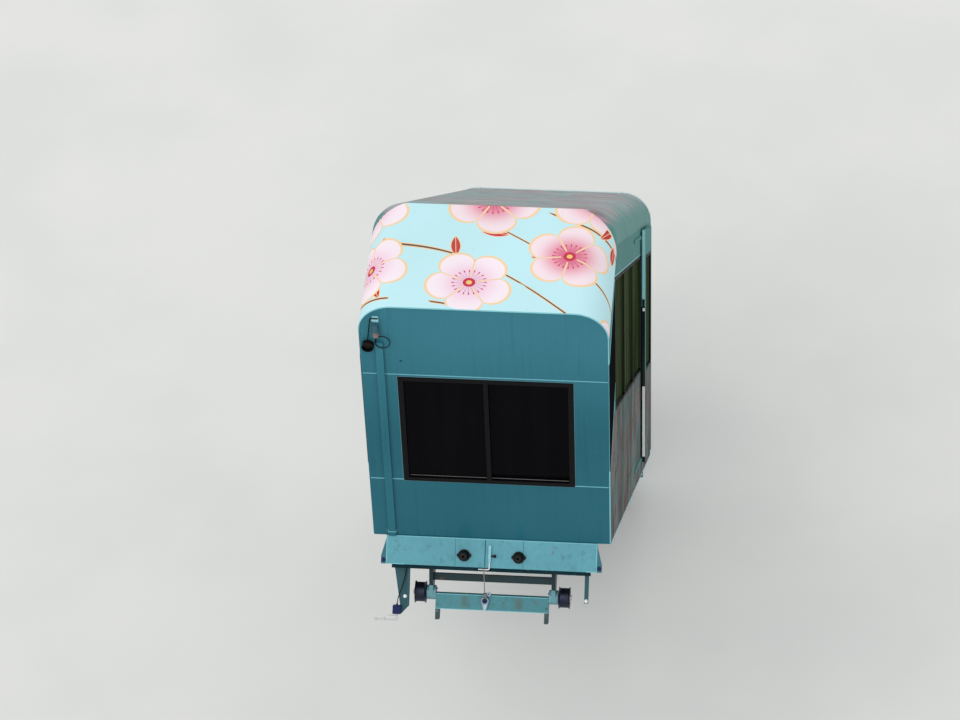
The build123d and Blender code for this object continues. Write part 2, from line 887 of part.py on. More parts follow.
with BuildPart() as axle_beams:
    for end in (-1, 1):
        with BuildSketch(beside_rails(-bearing_inner)):
            with Locations((end * wheel_base / 2, axle_beam_low + axle_beam_height / 2)):
                Rectangle(axle_beam_depth, axle_beam_height)
        extrude(amount=2 * bearing_inner)
write(axle_beams, "axle_beams")

# Braces between the pedestals, above the axle beams
brace_half = (bearing_inner + bearing_outer - pedestal_thickness) / 2
with BuildPart() as axle_braces:
    with BuildSketch(beside_rails(-brace_half)):
        with Locations(*[(end * wheel_base / 2, brace_low + brace_size / 2) for end in (-1, 1)]):
            Rectangle(brace_size, brace_size)
    extrude(amount=2 * brace_half)
write(axle_braces, "axle_braces")

# Claws under the ends of the axle beams, inside the rails
with BuildPart() as rail_claws:
    claw_x = bearing_inner - claw_thickness / 2
    for end in (-1, 1):
        for side in (-1, 1):
            with BuildSketch(beside_rails(side * claw_x - claw_thickness / 2)):
                with Locations((end * wheel_base / 2, axle_beam_low - claw_length / 2)):
                    Rectangle(axle_beam_depth, claw_length)
            extrude(amount=claw_thickness)
write(rail_claws, "rail_claws")

# Rope sockets on the apron
apron_face = corner_along - apron_plate
with BuildPart() as rope_sockets:
    for side in (-1, 1):
        with BuildSketch(across_rails(apron_face)):
            with Locations((side * socket_x, socket_over)):
                Circle(socket_flange_radius)
                with Locations((-socket_lobe_x, 0), (socket_lobe_x, 0)):
                    Circle(socket_lobe_radius)
        extrude(amount=socket_flange)
        with BuildSketch(across_rails(apron_face - socket_flange)):
            with Locations((side * socket_x, socket_over)):
                Circle(socket_flange_radius - socket_flange)
        extrude(amount=socket_length - socket_flange, taper=8)
        with BuildSketch(across_rails(apron_face - socket_length)):
            with Locations((side * socket_x, socket_over)):
                Circle(rope_hole_radius)
        extrude(amount=-rope_hole_depth, mode=Mode.SUBTRACT)
write(rope_sockets, "rope_sockets")

# Slack-rope lever on the uphill apron. Its crank carries a link, pinned to a lug on the axle beam
lever_along = apron_face - lever_standoff
crank_along = lever_along - lever_thickness / 2
with BuildPart() as slack_lever:
    with BuildSketch(across_rails(lever_along)) as lever_outline:
        oblong(lever_x - lever_width / 2, lever_x + lever_width / 2, lever_low, lever_top)
        fillet(lever_outline.vertices(), lever_round)
    extrude(amount=lever_thickness)
    with BuildSketch(across_rails(apron_face)):
        with Locations((lever_x, pin_over)):
            Circle(pin_radius)
    extrude(amount=lever_standoff)
    with BuildLine() as crank:
        FilletPolyline(
            spot(lever_x, crank_along, lever_low + lever_width),
            spot(lever_x, crank_along, crank_low),
            spot(crank_end_x, crank_along, crank_low),
            radius=crank_bend,
        )
    with BuildSketch(Plane(origin=crank.line @ 0, z_dir=crank.line % 0)):
        Circle(crank_radius)
    sweep(path=crank.line)
write(slack_lever, "slack_lever")

knob_from = lever_x + lever_width / 2
with BuildPart() as lever_knob:
    with BuildSketch(Plane.YZ.offset(knob_from)):
        with Locations(place(crank_along, pin_over)):
            Circle(pin_radius)
    extrude(amount=pin_reach)
    with BuildSketch(Plane.YZ.offset(knob_from + pin_reach - knob_length)):
        with Locations(place(crank_along, pin_over)):
            Circle(knob_radius)
    extrude(amount=knob_length)
write(lever_knob, "lever_knob")

anchor_face = -wheel_base / 2 - axle_beam_depth / 2
fork_along = anchor_face - anchor_depth
fork_over = anchor_over + anchor_height / 2
lug_thickness = fork_slot - 2 * running_gap
with BuildPart() as link_anchor:
    with BuildSketch(across_rails(anchor_face)):
        with Locations((link_x, fork_over)):
            Rectangle(anchor_width, anchor_height)
    extrude(amount=link_radius)
    with BuildSketch(beside_rails(link_x - lug_thickness / 2)):
        oblong(fork_along, anchor_face, fork_over - fork_slot, fork_over + fork_slot)
        with Locations((fork_along, fork_over)):
            Circle(fork_slot)
            Circle(crank_radius + running_gap, mode=Mode.SUBTRACT)
    extrude(amount=lug_thickness)
write(link_anchor, "link_anchor")

fork_pin = spot(link_x, fork_along, fork_over)
link_eye = spot(link_x, crank_along, crank_low)
link_run = (link_eye - fork_pin).length
eye_radius = crank_radius + running_gap + eye_wall
link_plane = Plane(origin=fork_pin, x_dir=(1, 0, 0), z_dir=link_eye - fork_pin)
with BuildPart() as brake_link:
    with BuildSketch(link_plane.offset(-fork_slot)):
        Rectangle(fork_width, 2 * fork_slot)
    extrude(amount=fork_length)
    with BuildSketch(link_plane.offset(-fork_slot)):
        Rectangle(fork_slot, 2 * fork_slot)
    extrude(amount=3 * fork_slot, mode=Mode.SUBTRACT)
    with BuildSketch(Plane.YZ.offset(link_x - fork_width / 2)):
        with Locations((fork_pin.Y, fork_pin.Z)):
            Circle(crank_radius)
    extrude(amount=fork_width)
    with BuildSketch(link_plane.offset(fork_length - 2 * fork_slot)):
        Circle(link_radius)
    extrude(amount=link_run - fork_length + 2 * fork_slot)
    with BuildSketch(Plane.YZ.offset(link_x - eye_length / 2)):
        with Locations((link_eye.Y, link_eye.Z)):
            Circle(eye_radius)
    extrude(amount=eye_length)
    with BuildSketch(Plane.YZ.offset(link_x - eye_length / 2)):
        with Locations((link_eye.Y, link_eye.Z)):
            Circle(crank_radius + running_gap)
    extrude(amount=eye_length, mode=Mode.SUBTRACT)
write(brake_link, "brake_link")

# Guards that hang from the uphill headstock, outside the wheels: a tapered and ribbed plate on the
# left, with an ear behind the limit switch, and a plain hanger on the right
guard_along = corner_along + headstock_depth
with BuildPart() as guard_plates:
    with BuildSketch(across_rails(guard_along)):
        Polygon(
            (-guard_outer_x, headstock_low),
            (-guard_inner_x, headstock_low),
            (-guard_inner_x, guard_low + guard_toe_rise),
            (-guard_toe_x, guard_low),
            align=None,
        )
        oblong(-switch_outer_x, -guard_toe_x, guard_low, guard_low + switch_height)
        oblong(hanger_outer_x - hanger_width, hanger_outer_x, hanger_low, headstock_low)
    extrude(amount=guard_plate)
    with BuildSketch(across_rails(guard_along)):
        oblong(-guard_inner_x - guard_plate, -guard_inner_x, guard_low + guard_toe_rise, headstock_low)
    extrude(amount=guard_rib)
write(guard_plates, "guard_plates")

# Limit switch on the ear of the left guard plate, and its arm
switch_along = guard_along - guard_plate
switch_x = -switch_outer_x + switch_width / 2
switch_top = guard_low + switch_height
arm_along = switch_along - switch_depth / 2
arm_over = guard_low - arm_drop
with BuildPart() as limit_switch:
    with BuildSketch(across_rails(switch_along)):
        oblong(-switch_outer_x, -switch_outer_x + switch_width, guard_low, switch_top)
    extrude(amount=switch_depth)
    fillet(limit_switch.edges().filter_by(along_axis), switch_round)
    with BuildSketch(rails.offset(switch_top)):
        with Locations((switch_x, arm_along)):
            Circle(gland_radius)
    extrude(amount=gland_height)
write(limit_switch, "limit_switch")

with BuildPart() as switch_arm:
    with BuildSketch(rails.offset(guard_low)):
        with Locations((switch_x, arm_along)):
            Circle(arm_radius)
    extrude(amount=-arm_drop - arm_radius)
    with BuildSketch(Plane.YZ.offset(switch_x + arm_radius)):
        with Locations(place(arm_along, arm_over)):
            Circle(arm_radius)
    extrude(amount=-arm_length)
    with BuildSketch(Plane.YZ.offset(switch_x + arm_radius - arm_length)):
        with Locations(place(arm_along, arm_over)):
            Circle(roller_radius)
    extrude(amount=roller_length)
write(switch_arm, "switch_arm")

# Cable from the headstock down to the switch: each point is a reach to the right of the switch and a
# share of the drop
gland_top = switch_top + gland_height + 2 * running_gap
switch_drop = headstock_low - running_gap - gland_top
switch_route = [(65, 1), (64, 0.85), (59, 0.7), (51, 0.55), (39, 0.41), (24, 0.28), (7, 0.14), (0, 0)]
with BuildPart() as switch_cable:
    with BuildLine() as cable_path:
        cord_line([
            spot(switch_x + reach, arm_along, gland_top + share * switch_drop)
            for reach, share in switch_route
        ])
    with BuildSketch(Plane(origin=cable_path.line @ 0, z_dir=cable_path.line % 0)):
        Circle(cable_radius)
    sweep(path=cable_path.line)
write(switch_cable, "switch_cable")

# Cable duct on the uphill wall. Above it a siren on its bracket, and the horn on a bent rod
duct_top = horn_height + duct_rise
with BuildPart() as cable_duct:
    with BuildSketch(upright_at(y_up)):
        oblong(duct_x - duct_width / 2, duct_x + duct_width / 2, z_up + duct_low, z_up + duct_top)
    extrude(amount=duct_proud)
write(cable_duct, "cable_duct")

siren_low = z_up + horn_height + siren_rise
bracket_top = z_up + horn_height + bracket_rise
siren_y = y_up - bracket_plate - siren_cap_radius
with BuildPart() as horn_bracket:
    with BuildSketch(upright_at(y_up)):
        oblong(bracket_x - bracket_width / 2, bracket_x + bracket_width / 2, siren_low, bracket_top)
    extrude(amount=bracket_plate)
    with BuildSketch(upright_at(y_up)):
        oblong(
            bracket_x - bracket_width / 2, bracket_x + bracket_width / 2,
            bracket_top, bracket_top + bracket_plate,
        )
    extrude(amount=bracket_proud)
write(horn_bracket, "horn_bracket")

with BuildPart() as siren:
    with BuildSketch(Plane.XY.offset(siren_low)):
        with Locations((bracket_x, siren_y)):
            Circle(siren_radius)
    extrude(amount=siren_height)
    with BuildSketch(Plane.XY.offset(siren_low + siren_cap_height)):
        with Locations((bracket_x, siren_y)):
            Circle(siren_cap_radius)
    extrude(amount=siren_cap_height)
    with BuildSketch(upright_at(y_up - bracket_plate)):
        oblong(
            bracket_x - siren_radius / 2, bracket_x + siren_radius / 2,
            siren_low + siren_height / 2, siren_low + siren_height - siren_cap_height,
        )
    extrude(amount=siren_cap_radius)
write(siren, "siren")

horn_back = siren_y + horn_depth - horn_recess
rod_z = bracket_top + bracket_plate + rod_radius + running_gap
with BuildPart() as horn:
    with BuildSketch(upright_at(horn_back)):
        with Locations((horn_x, z_up + horn_height)):
            Circle(horn_radius)
    extrude(amount=horn_depth)
    with BuildSketch(upright_at(horn_back - horn_depth)):
        with Locations((horn_x, z_up + horn_height)):
            Circle(horn_radius - horn_rim)
    extrude(amount=-horn_recess, mode=Mode.SUBTRACT)
    with BuildLine() as rod_path:
        FilletPolyline(
            (bracket_x + bracket_width / 2, siren_y, rod_z),
            (horn_x + rod_reach, siren_y, rod_z),
            (horn_x, siren_y, z_up + horn_height + horn_radius - horn_rim),
            radius=rod_bend,
        )
    with BuildSketch(Plane(origin=rod_path.line @ 0, z_dir=rod_path.line % 0)):
        Circle(rod_radius)
    sweep(path=rod_path.line)
write(horn, "horn")

# Spare loop of the siren's cable, from the duct once round and up into the siren
loop_z = z_up + horn_height + loop_rise
loop_corner = loop_radius / cos(radians(180 / loop_points))
loop_side = loop_radius * tan(radians(180 / loop_points))
ring_points = [
    Vector(
        loop_x - loop_corner * cos(radians((i - 0.5) * 360 / loop_points)),
        y_up - duct_proud / 2 - i * (duct_proud / 2 + loop_pitch) / (loop_points - 1),
        loop_z + loop_corner * sin(radians((i - 0.5) * 360 / loop_points)),
    )
    for i in range(1, loop_points + 1)
]
with BuildPart() as horn_cable:
    with BuildLine() as loop_path:
        cord_line([
            Vector(ring_points[0].X, ring_points[0].Y, z_up + duct_top),
            *ring_points,
            Vector(ring_points[-1].X, siren_y, loop_z + loop_side),
            Vector(ring_points[-1].X, siren_y, siren_low),
        ])
    with BuildSketch(Plane(origin=loop_path.line @ 0, z_dir=loop_path.line % 0)):
        Circle(cable_radius)
    sweep(path=loop_path.line)
write(horn_cable, "horn_cable")

print("roof over", round(roof_over), "body length", body_length, "uphill corner", round(y_up), round(z_up))
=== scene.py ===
# %% [markdown]
# # Dressing a small funicular car
# The packed CAD model of the car comes in as a fixed frame: every node is already at its real size
# and place, in metres, with +Z up and +Y running downhill. This script adds what a CAD model leaves
# out: finishes, seat covers, mouldings, gaskets and fasteners. Nothing of the CAD is moved.

# %% Load the frame
import json
import math

import bmesh
import bpy
from mathutils import Matrix, Vector


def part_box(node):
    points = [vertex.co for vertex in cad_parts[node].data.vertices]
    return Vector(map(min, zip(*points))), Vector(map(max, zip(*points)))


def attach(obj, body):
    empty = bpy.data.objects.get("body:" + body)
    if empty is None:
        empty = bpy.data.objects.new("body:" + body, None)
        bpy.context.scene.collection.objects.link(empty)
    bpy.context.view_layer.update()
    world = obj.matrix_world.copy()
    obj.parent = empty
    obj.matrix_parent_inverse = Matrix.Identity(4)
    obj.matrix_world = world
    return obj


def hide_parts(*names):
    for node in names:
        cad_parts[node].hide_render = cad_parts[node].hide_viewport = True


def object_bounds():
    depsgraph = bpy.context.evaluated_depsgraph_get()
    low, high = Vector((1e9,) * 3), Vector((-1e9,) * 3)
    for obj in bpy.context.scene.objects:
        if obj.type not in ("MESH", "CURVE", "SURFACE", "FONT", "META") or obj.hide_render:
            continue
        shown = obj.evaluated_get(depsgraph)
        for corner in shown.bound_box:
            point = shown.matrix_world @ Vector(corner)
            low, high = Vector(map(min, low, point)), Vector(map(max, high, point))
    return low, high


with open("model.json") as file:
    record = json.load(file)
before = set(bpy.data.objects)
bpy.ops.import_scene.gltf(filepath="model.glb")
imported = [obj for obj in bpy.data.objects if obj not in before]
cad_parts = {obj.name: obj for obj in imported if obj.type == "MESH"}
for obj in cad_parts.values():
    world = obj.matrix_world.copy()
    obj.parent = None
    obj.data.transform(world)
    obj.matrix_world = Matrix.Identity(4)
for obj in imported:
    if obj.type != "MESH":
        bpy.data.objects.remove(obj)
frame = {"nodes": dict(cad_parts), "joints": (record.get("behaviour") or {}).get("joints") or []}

cad_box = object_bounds()
print("nodes", len(frame["nodes"]), "CAD box", [round(v, 3) for corner in cad_box for v in corner])

# %% [markdown]
# ## The car's own directions
# The rails fall at a steady angle, and most of the car lines up with them. The door slides along the
# rails, so its joint gives the slope. "Over" is square to the rail tops, "along" runs down the slope.

# %% Directions
door_axis = Vector(next(joint["axis"] for joint in frame["joints"] if joint["type"] == "slide"))
slope = math.atan2(door_axis.z, -door_axis.y)
along_rails = -door_axis
over_rails = Vector((0, math.sin(slope), math.cos(slope)))
print("slope", round(math.degrees(slope), 2))


def along_of(y, z):
    """Distance down the rails, from a ground distance and a level."""
    return y * along_rails.y + z * along_rails.z


def over_of(y, z):
    """Height over the rail tops. It takes plain numbers and a material's coordinates alike."""
    return y * over_rails.y + z * over_rails.z


def spot(x, along, over):
    """Point given across the car, along the rails and over them."""
    return Vector((x, 0, 0)) + along * along_rails + over * over_rails


def on_side(x, y, over):
    """Point of a side wall, given by its ground distance and its height over the rails."""
    return Vector((x, y, (over - y * over_rails.y) / over_rails.z))


# %% Measure the shell
end_face_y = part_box("uphill_wall_lower")[0].y
foot_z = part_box("uphill_wall_lower")[0].z
far_face_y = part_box("downhill_wall_lower")[1].y
half_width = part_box("uphill_wall_lower")[1].x
straight_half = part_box("roof_level")[1].x
roof_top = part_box("roof_level")[1].z
fold_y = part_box("roof_level")[1].y
spring_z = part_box("cantrails_level")[0].z
corner_radius = roof_top - spring_z
spring_over = over_of(fold_y, roof_top) - corner_radius
skirt_over = over_of(end_face_y, foot_z)
frames_low, frames_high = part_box("side_window_frames")
sash_start = frames_low.y
sash_head = over_of(frames_low.y, frames_high.z)
sash_sill = over_of(frames_high.y, frames_low.z)
wheel_joints = [joint for joint in frame["joints"] if joint["type"] == "hinge"]
axle_over = Vector(wheel_joints[0]["pos_m"]).dot(over_rails)
print("half width", round(half_width, 3), "skirt over the rails", round(skirt_over, 3))

# %% [markdown]
# ## Camera
# The photo was taken from above the uphill end, looking down almost along the rails with a long
# lens. The camera is placed by its own three angles, worked out from the corners of the end wall.

# %% Camera
focal_pixels = 3730
image_width = 960
sensor_width = 36
reach_of_view = 500
camera_place = Vector((2.1627, -21.0956, 24.0357))
camera_pitch = math.radians(45.618)
camera_yaw = math.radians(-6.717)
camera_roll = math.radians(-2.554)

forward = Vector((
    math.sin(camera_yaw) * math.cos(camera_pitch),
    math.cos(camera_yaw) * math.cos(camera_pitch),
    -math.sin(camera_pitch),
))
level_right = Vector((math.cos(camera_yaw), -math.sin(camera_yaw), 0))
level_up = level_right.cross(forward)
right = math.cos(camera_roll) * level_right + math.sin(camera_roll) * level_up
upward = -math.sin(camera_roll) * level_right + math.cos(camera_roll) * level_up


def placed(name, data):
    """An object that holds the given data, linked to the scene."""
    made = bpy.data.objects.new(name, data)
    bpy.context.scene.collection.objects.link(made)
    return made


camera = placed("camera", bpy.data.cameras.new("camera"))
camera.data.lens = focal_pixels * sensor_width / image_width
camera.data.sensor_width = sensor_width
camera.data.clip_end = reach_of_view
camera.matrix_world = Matrix((
    (right.x, upward.x, -forward.x, camera_place.x),
    (right.y, upward.y, -forward.y, camera_place.y),
    (right.z, upward.z, -forward.z, camera_place.z),
    (0, 0, 0, 1),
))
bpy.context.scene.camera = camera
bpy.context.scene.view_settings.view_transform = "Standard"
print("lens", round(camera.data.lens, 1))

# %% [markdown]
# ## A node tree written as sums
# A finish is easier to read as arithmetic than as a list of links. `Wire` wraps the output of a
# node, so `1 - mask` or `rust * wet` adds the Math nodes by itself. Every other node comes from
# `Finish.node`, which sets the node up first and then fills its sockets with values or wires. Where
# a socket takes many links, a list gives them all.


# %% Socket maths
def add_node(tree, kind, settings, inputs):
    """Adds a node, applies its settings, then fills its sockets with links or values."""
    made = tree.nodes.new(kind)
    for name, value in settings.items():
        setattr(made, name, value)
    for key, value in inputs.items():
        if isinstance(value, bpy.types.NodeSocket):
            tree.links.new(value, made.inputs[key])
        elif isinstance(value, list):
            for socket in value:
                tree.links.new(socket, made.inputs[key])
        else:
            made.inputs[key].default_value = value
    return made


class Wire:
    """The output of a node. Arithmetic on it adds Math nodes."""

    def __init__(self, finish, socket):
        self.finish = finish
        self.socket = socket

    def __add__(self, other):
        return self.finish.maths("ADD", self, other)

    def __sub__(self, other):
        return self.finish.maths("SUBTRACT", self, other)

    def __rsub__(self, other):
        return self.finish.maths("SUBTRACT", other, self)

    def __mul__(self, other):
        return self.finish.maths("MULTIPLY", self, other)

    def __truediv__(self, other):
        return self.finish.maths("DIVIDE", self, other)

    def __rtruediv__(self, other):
        return self.finish.maths("DIVIDE", other, self)

    def __pow__(self, other):
        return self.finish.maths("POWER", self, other)

    def __gt__(self, other):
        return self.finish.maths("GREATER_THAN", self, other)

    def __lt__(self, other):
        return self.finish.maths("LESS_THAN", self, other)

    __radd__ = __add__
    __rmul__ = __mul__

    def also(self, output):
        """Another output of the same node."""
        return Wire(self.finish, self.socket.node.outputs[output])

    def rise(self, low, high):
        """0 below low, 1 above high, and smooth between them."""
        settings = {"interpolation_type": "SMOOTHSTEP"}
        return self.finish.node("ShaderNodeMapRange", settings, {0: self, 1: low, 2: high})


# %% Finishes
class Finish:
    """One material and its node tree."""

    def __init__(self, name):
        self.material = bpy.data.materials.new(name)
        self.material.use_nodes = True
        self.tree = self.material.node_tree
        self.tree.nodes.clear()
        self.here = self.node("ShaderNodeTexCoord", {}, {}, "Object")

    def node(self, kind, settings, inputs, output=0):
        """Any other node, with wires or values on its sockets, as a wire from one output."""
        plain = {key: value.socket if isinstance(value, Wire) else value for key, value in inputs.items()}
        made = add_node(self.tree, kind, settings, plain)
        return Wire(self, made.outputs[output]) if made.outputs else None

    def maths(self, operation, *values):
        return self.node("ShaderNodeMath", {"operation": operation}, dict(enumerate(values)))

    def vector(self, operation, *values):
        return self.node("ShaderNodeVectorMath", {"operation": operation}, dict(enumerate(values)))

    def unsigned(self, number):
        return self.maths("ABSOLUTE", number)

    def mix(self, share, first, second):
        """The first colour where share is 0, the second where it is 1."""
        return self.node("ShaderNodeMix", {"data_type": "RGBA"}, {0: share, 6: first, 7: second}, 2)

    def parts(self, vector):
        """The three numbers of a vector."""
        x = self.node("ShaderNodeSeparateXYZ", {}, {0: vector})
        return x, x.also(1), x.also(2)

    def join(self, x, y):
        """A flat vector of two numbers."""
        return self.node("ShaderNodeCombineXYZ", {}, {0: x, 1: y})

    def stretched(self, scale):
        """The piece's own coordinates, scaled along each axis."""
        return self.node("ShaderNodeMapping", {}, {"Vector": self.here, "Scale": scale})

    def noise(self, scale, detail=3.0, place=None):
        """Noise over a place, by default the piece's own coordinates."""
        where = self.here if place is None else place
        return self.node("ShaderNodeTexNoise", {}, {"Vector": where, "Scale": scale, "Detail": detail})

    def relief(self, height, strength=1.0):
        """Bump from a height in metres."""
        inputs = {"Strength": strength, "Distance": 1.0, "Height": height}
        return self.node("ShaderNodeBump", {}, inputs)

    def surface(self, **sockets):
        """Ends the tree in a Principled shader, with sockets named in lower case."""
        named = {name.replace("_", " ").title().replace("Ior", "IOR"): v for name, v in sockets.items()}
        shader = self.node("ShaderNodeBsdfPrincipled", {}, named)
        self.node("ShaderNodeOutputMaterial", {}, {"Surface": shader})
        return self.material

    def coated(self, gloss, coat_roughness, **sockets):
        """A matt surface under a light coat, which stays gentle at every angle."""
        return self.surface(
            specular_ior_level=0.0, coat_weight=gloss, coat_roughness=coat_roughness, **sockets
        )


def seen(red, green, blue):
    """A colour as a picture shows it, from 0 to 255, turned into scene values."""
    shares = [value / 255 for value in (red, green, blue)]
    return (*[s / 12.92 if s <= 0.04045 else ((s + 0.055) / 1.055) ** 2.4 for s in shares], 1)


print("reflected forms", [name for name in vars(Wire) if name.startswith("__r")])
print("mid grey as a scene value", [round(v, 3) for v in seen(128, 128, 128)])


# %% [markdown]
# ## Studio
# A plain pale floor lies just under the car's lowest point, and a bright sky with one wide soft
# lamp lights the car from the upper left. The sky is even, so a colour renders about as it is written.

# %% Floor, sky and lamp
floor_drop = 0.02
floor_reach = 90
sky_strength = 0.72
lamp_strength = 1.15

floor_mesh = bpy.data.meshes.new("floor")
floor_z = cad_box[0].z - floor_drop
corners = [(x, y, floor_z) for x, y in ((-1, -1), (1, -1), (1, 1), (-1, 1))]
floor_mesh.from_pydata([(x * floor_reach, y * floor_reach, z) for x, y, z in corners], [], [(0, 1, 2, 3)])
floor = placed("floor", floor_mesh)
paving = Finish("pale_floor")
floor_cloud = paving.noise(0.6).rise(0.3, 0.7)
floor_mesh.materials.append(paving.surface(
    base_color=paving.mix(floor_cloud, seen(222, 224, 222), seen(228, 229, 227)), roughness=0.9
))

world = bpy.data.worlds.new("sky")
bpy.context.scene.world = world
world.use_nodes = True
sky = world.node_tree.nodes["Background"]
sky.inputs["Color"].default_value = (1, 1, 1, 1)
sky.inputs["Strength"].default_value = sky_strength
lamp = placed("lamp", bpy.data.lights.new("lamp", "SUN"))
lamp.data.energy = lamp_strength
lamp.data.angle = math.radians(50)
lamp.rotation_euler = (math.radians(35), math.radians(-18), 0)
print("floor at", round(floor_z, 3))

# %% [markdown]
# ## Painted metal
# The shell is sheet metal under a semi-gloss teal paint that has gone a little cloudy and carries
# faint runs of dirt. Broad noise gives the clouding, noise stretched upright gives the runs, and a
# fine noise in the roughness breaks up the gloss. Bare paint would look like plastic. A plain
# specular layer mirrors nearly everything at a glancing angle, and this car is seen along its sides,
# so the gloss is a coat of small weight over a matt colour.


# %% Painted metal
def weathered(finish, colour, dirt, clouding, running, veil_share=0.0):
    """The paint's colour with clouding and upright runs of dirt."""
    cloud = finish.noise(1.3, 5.0).rise(0.3, 0.75)
    fine = finish.noise(38.0, 4.0).rise(0.35, 0.8)
    run = finish.noise(1.0, 4.0, finish.stretched((26, 26, 0.9))).rise(0.52, 0.82)
    _, y, z = finish.parts(finish.here)
    # The paint turns darker towards the foot of the wall, by the given share.
    low = 1 - over_of(y, z).rise(skirt_over + 0.8, skirt_over + 1.7)
    veil = cloud * clouding + fine * clouding * 0.5 + run * running + low * veil_share
    return finish.mix(finish.maths("MINIMUM", veil, 1.0), colour, dirt), run


def painted(name, colour, dirt, roughness=0.38, clouding=0.14, running=0.2, veil_share=0.0, gloss=0.25):
    finish = Finish(name)
    base, run = weathered(finish, colour, dirt, clouding, running, veil_share)
    fine = finish.noise(60.0)
    skin = finish.noise(240.0, 2.0) * 0.00004 + finish.noise(2.2, 2.0) * 0.0012
    return finish.coated(
        gloss, 0.25,
        base_color=base,
        roughness=roughness + fine * 0.14 + run * 0.12,
        normal=finish.relief(skin, 0.6),
    )


shell_paint = painted("teal_shell_paint", seen(58, 124, 140), seen(24, 86, 101), veil_share=0.6)
duct_paint = painted("duct_paint", seen(59, 127, 143), seen(26, 88, 103), veil_share=0.55)
bead_paint = painted("bead_paint", seen(134, 200, 210), seen(96, 156, 166), clouding=0.1)
side_paint = painted("side_paint", seen(88, 140, 138), seen(58, 108, 106), clouding=0.25, gloss=0.12)
print("paints", shell_paint.name, duct_paint.name, bead_paint.name, side_paint.name)

# %% [markdown]
# ## Painted steel with rust
# The undercarriage is teal over rolled steel. The apron's teal is lighter than the shell's, partly as
# painted light, and the parts under the car take darker copies of it as painted shade. Rust starts where
# the paint is chipped and bleeds downwards. One noise picks the chips, and the same noise read with a
# soft edge gives the stain around them, so that stain and chip always belong together.


# %% Frame paint
def frame_steel(name, colour, rusting, drip_x=None, ear_x=None, gloss=0.25):
    finish = Finish(name)
    base, run = weathered(finish, colour, seen(40, 76, 82), clouding=0.2, running=0.3)
    x, y, z = finish.parts(finish.here)
    if drip_x is not None:
        # Grease drips from the two rope sockets onto what lies under them
        blur = (finish.noise(9.0) - 0.5) * 0.04
        aside = finish.unsigned(finish.unsigned(x) - drip_x + blur)
        upright = finish.unsigned(over_of(y, z) - 0.02)
        drip = (1 - aside.rise(0.0, 0.05)) * (1 - upright.rise(0.02, 0.065))
        base = finish.mix(drip * 0.6, base, seen(84, 98, 78))
    if ear_x is not None:
        # The ears beside the plate stand back from it, and a darker colour on them is painted shade
        base = finish.mix((finish.unsigned(x) > ear_x) * 0.75, base, seen(40, 84, 96))
    patch = finish.noise(16.0, 6.0)
    chip = patch.rise(0.70 - rusting, 0.715 - rusting)
    stain = patch.rise(0.62 - rusting, 0.72 - rusting) * finish.noise(40.0).rise(0.3, 0.6)
    grain = finish.noise(90.0, 5.0)
    rust = finish.mix(grain.rise(0.3, 0.7), seen(70, 38, 26), seen(136, 78, 42))
    stained = finish.mix(stain * 0.45, base, seen(112, 92, 72))
    pits = finish.noise(300.0, 2.0) * 0.00005 - chip * 0.0002 + grain * chip * 0.0002
    return finish.coated(
        gloss, 0.3,
        base_color=finish.mix(chip, stained, rust),
        roughness=0.42 + chip * 0.4 + run * 0.1,
        normal=finish.relief(pits),
    )


socket_lobe_reach = 0.056
socket_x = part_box("rope_sockets")[1].x - socket_lobe_reach
apron_half = half_width - 0.1
# The apron's teal is lighter than the shell's, in part as painted light on a face turned to the sky. The
# axle beams, braces, guards and claws take darker copies of the teal: painted shade, as they lie under the
# car.
apron_paint = frame_steel("apron_paint", seen(98, 165, 179), rusting=-0.03, ear_x=apron_half + 0.001)
beam_paint = frame_steel("beam_paint", seen(66, 116, 126), rusting=0.005)
axle_paint = frame_steel("axle_paint", seen(80, 140, 149), rusting=-0.02, drip_x=socket_x)
brace_paint = frame_steel("brace_paint", seen(34, 52, 56), rusting=0.01)
guard_paint = frame_steel("guard_paint", seen(46, 88, 97), rusting=-0.02)
claw_paint = frame_steel("claw_paint", seen(62, 74, 76), rusting=0.03)
print("apron half width", round(apron_half, 3), "sockets at", round(socket_x, 3))

# %% [markdown]
# ## Printed film on the roof
# The roof wears a printed vinyl film with large blossoms on pale aqua. The print here is a design
# of its own: round five-petal plum blossoms, lens-shaped leaves and winding stems. The sheet is
# first unrolled: the angle round the cantrail gives a distance across, and the fold adds the
# slope's length, so the motifs keep their shape over the corners. A Voronoi texture then hands each
# cell its own centre and random numbers, which place, turn and size one blossom.


# %% Colours and cells of the print
film_ground = seen(198, 240, 248)
petal_white = seen(253, 244, 250)
petal_pink = seen(246, 205, 228)
petal_deep = seen(232, 120, 150)
pollen = seen(246, 206, 120)
crimson = seen(203, 46, 78)
brick = seen(196, 62, 60)
plum = seen(122, 42, 84)
stem_brown = seen(104, 80, 74)
outline_peach = seen(250, 216, 172)


def cells(finish, sheet, scale, randomness):
    """Splits the sheet into cells: the way from a cell's centre, and its own chance, turn and tint."""
    cell = finish.node(
        "ShaderNodeTexVoronoi", {"voronoi_dimensions": "2D"},
        {"Vector": sheet, "Scale": scale, "Randomness": randomness}, "Position",
    )
    dx, dy, _ = finish.parts(finish.vector("SUBTRACT", sheet, cell))
    chance, turn, tint = finish.parts(cell.also("Color"))
    return dx, dy, chance, turn * math.tau, tint


print("ground colour", [round(v, 3) for v in film_ground])


# %% Stems and leaves
stem_spacing = 0.5
stem_half = 0.0075
stem_rim = 0.016
leaf_half = 0.1
leaf_width = 0.032
rib_half = 0.0025
leaf_rim = 0.008


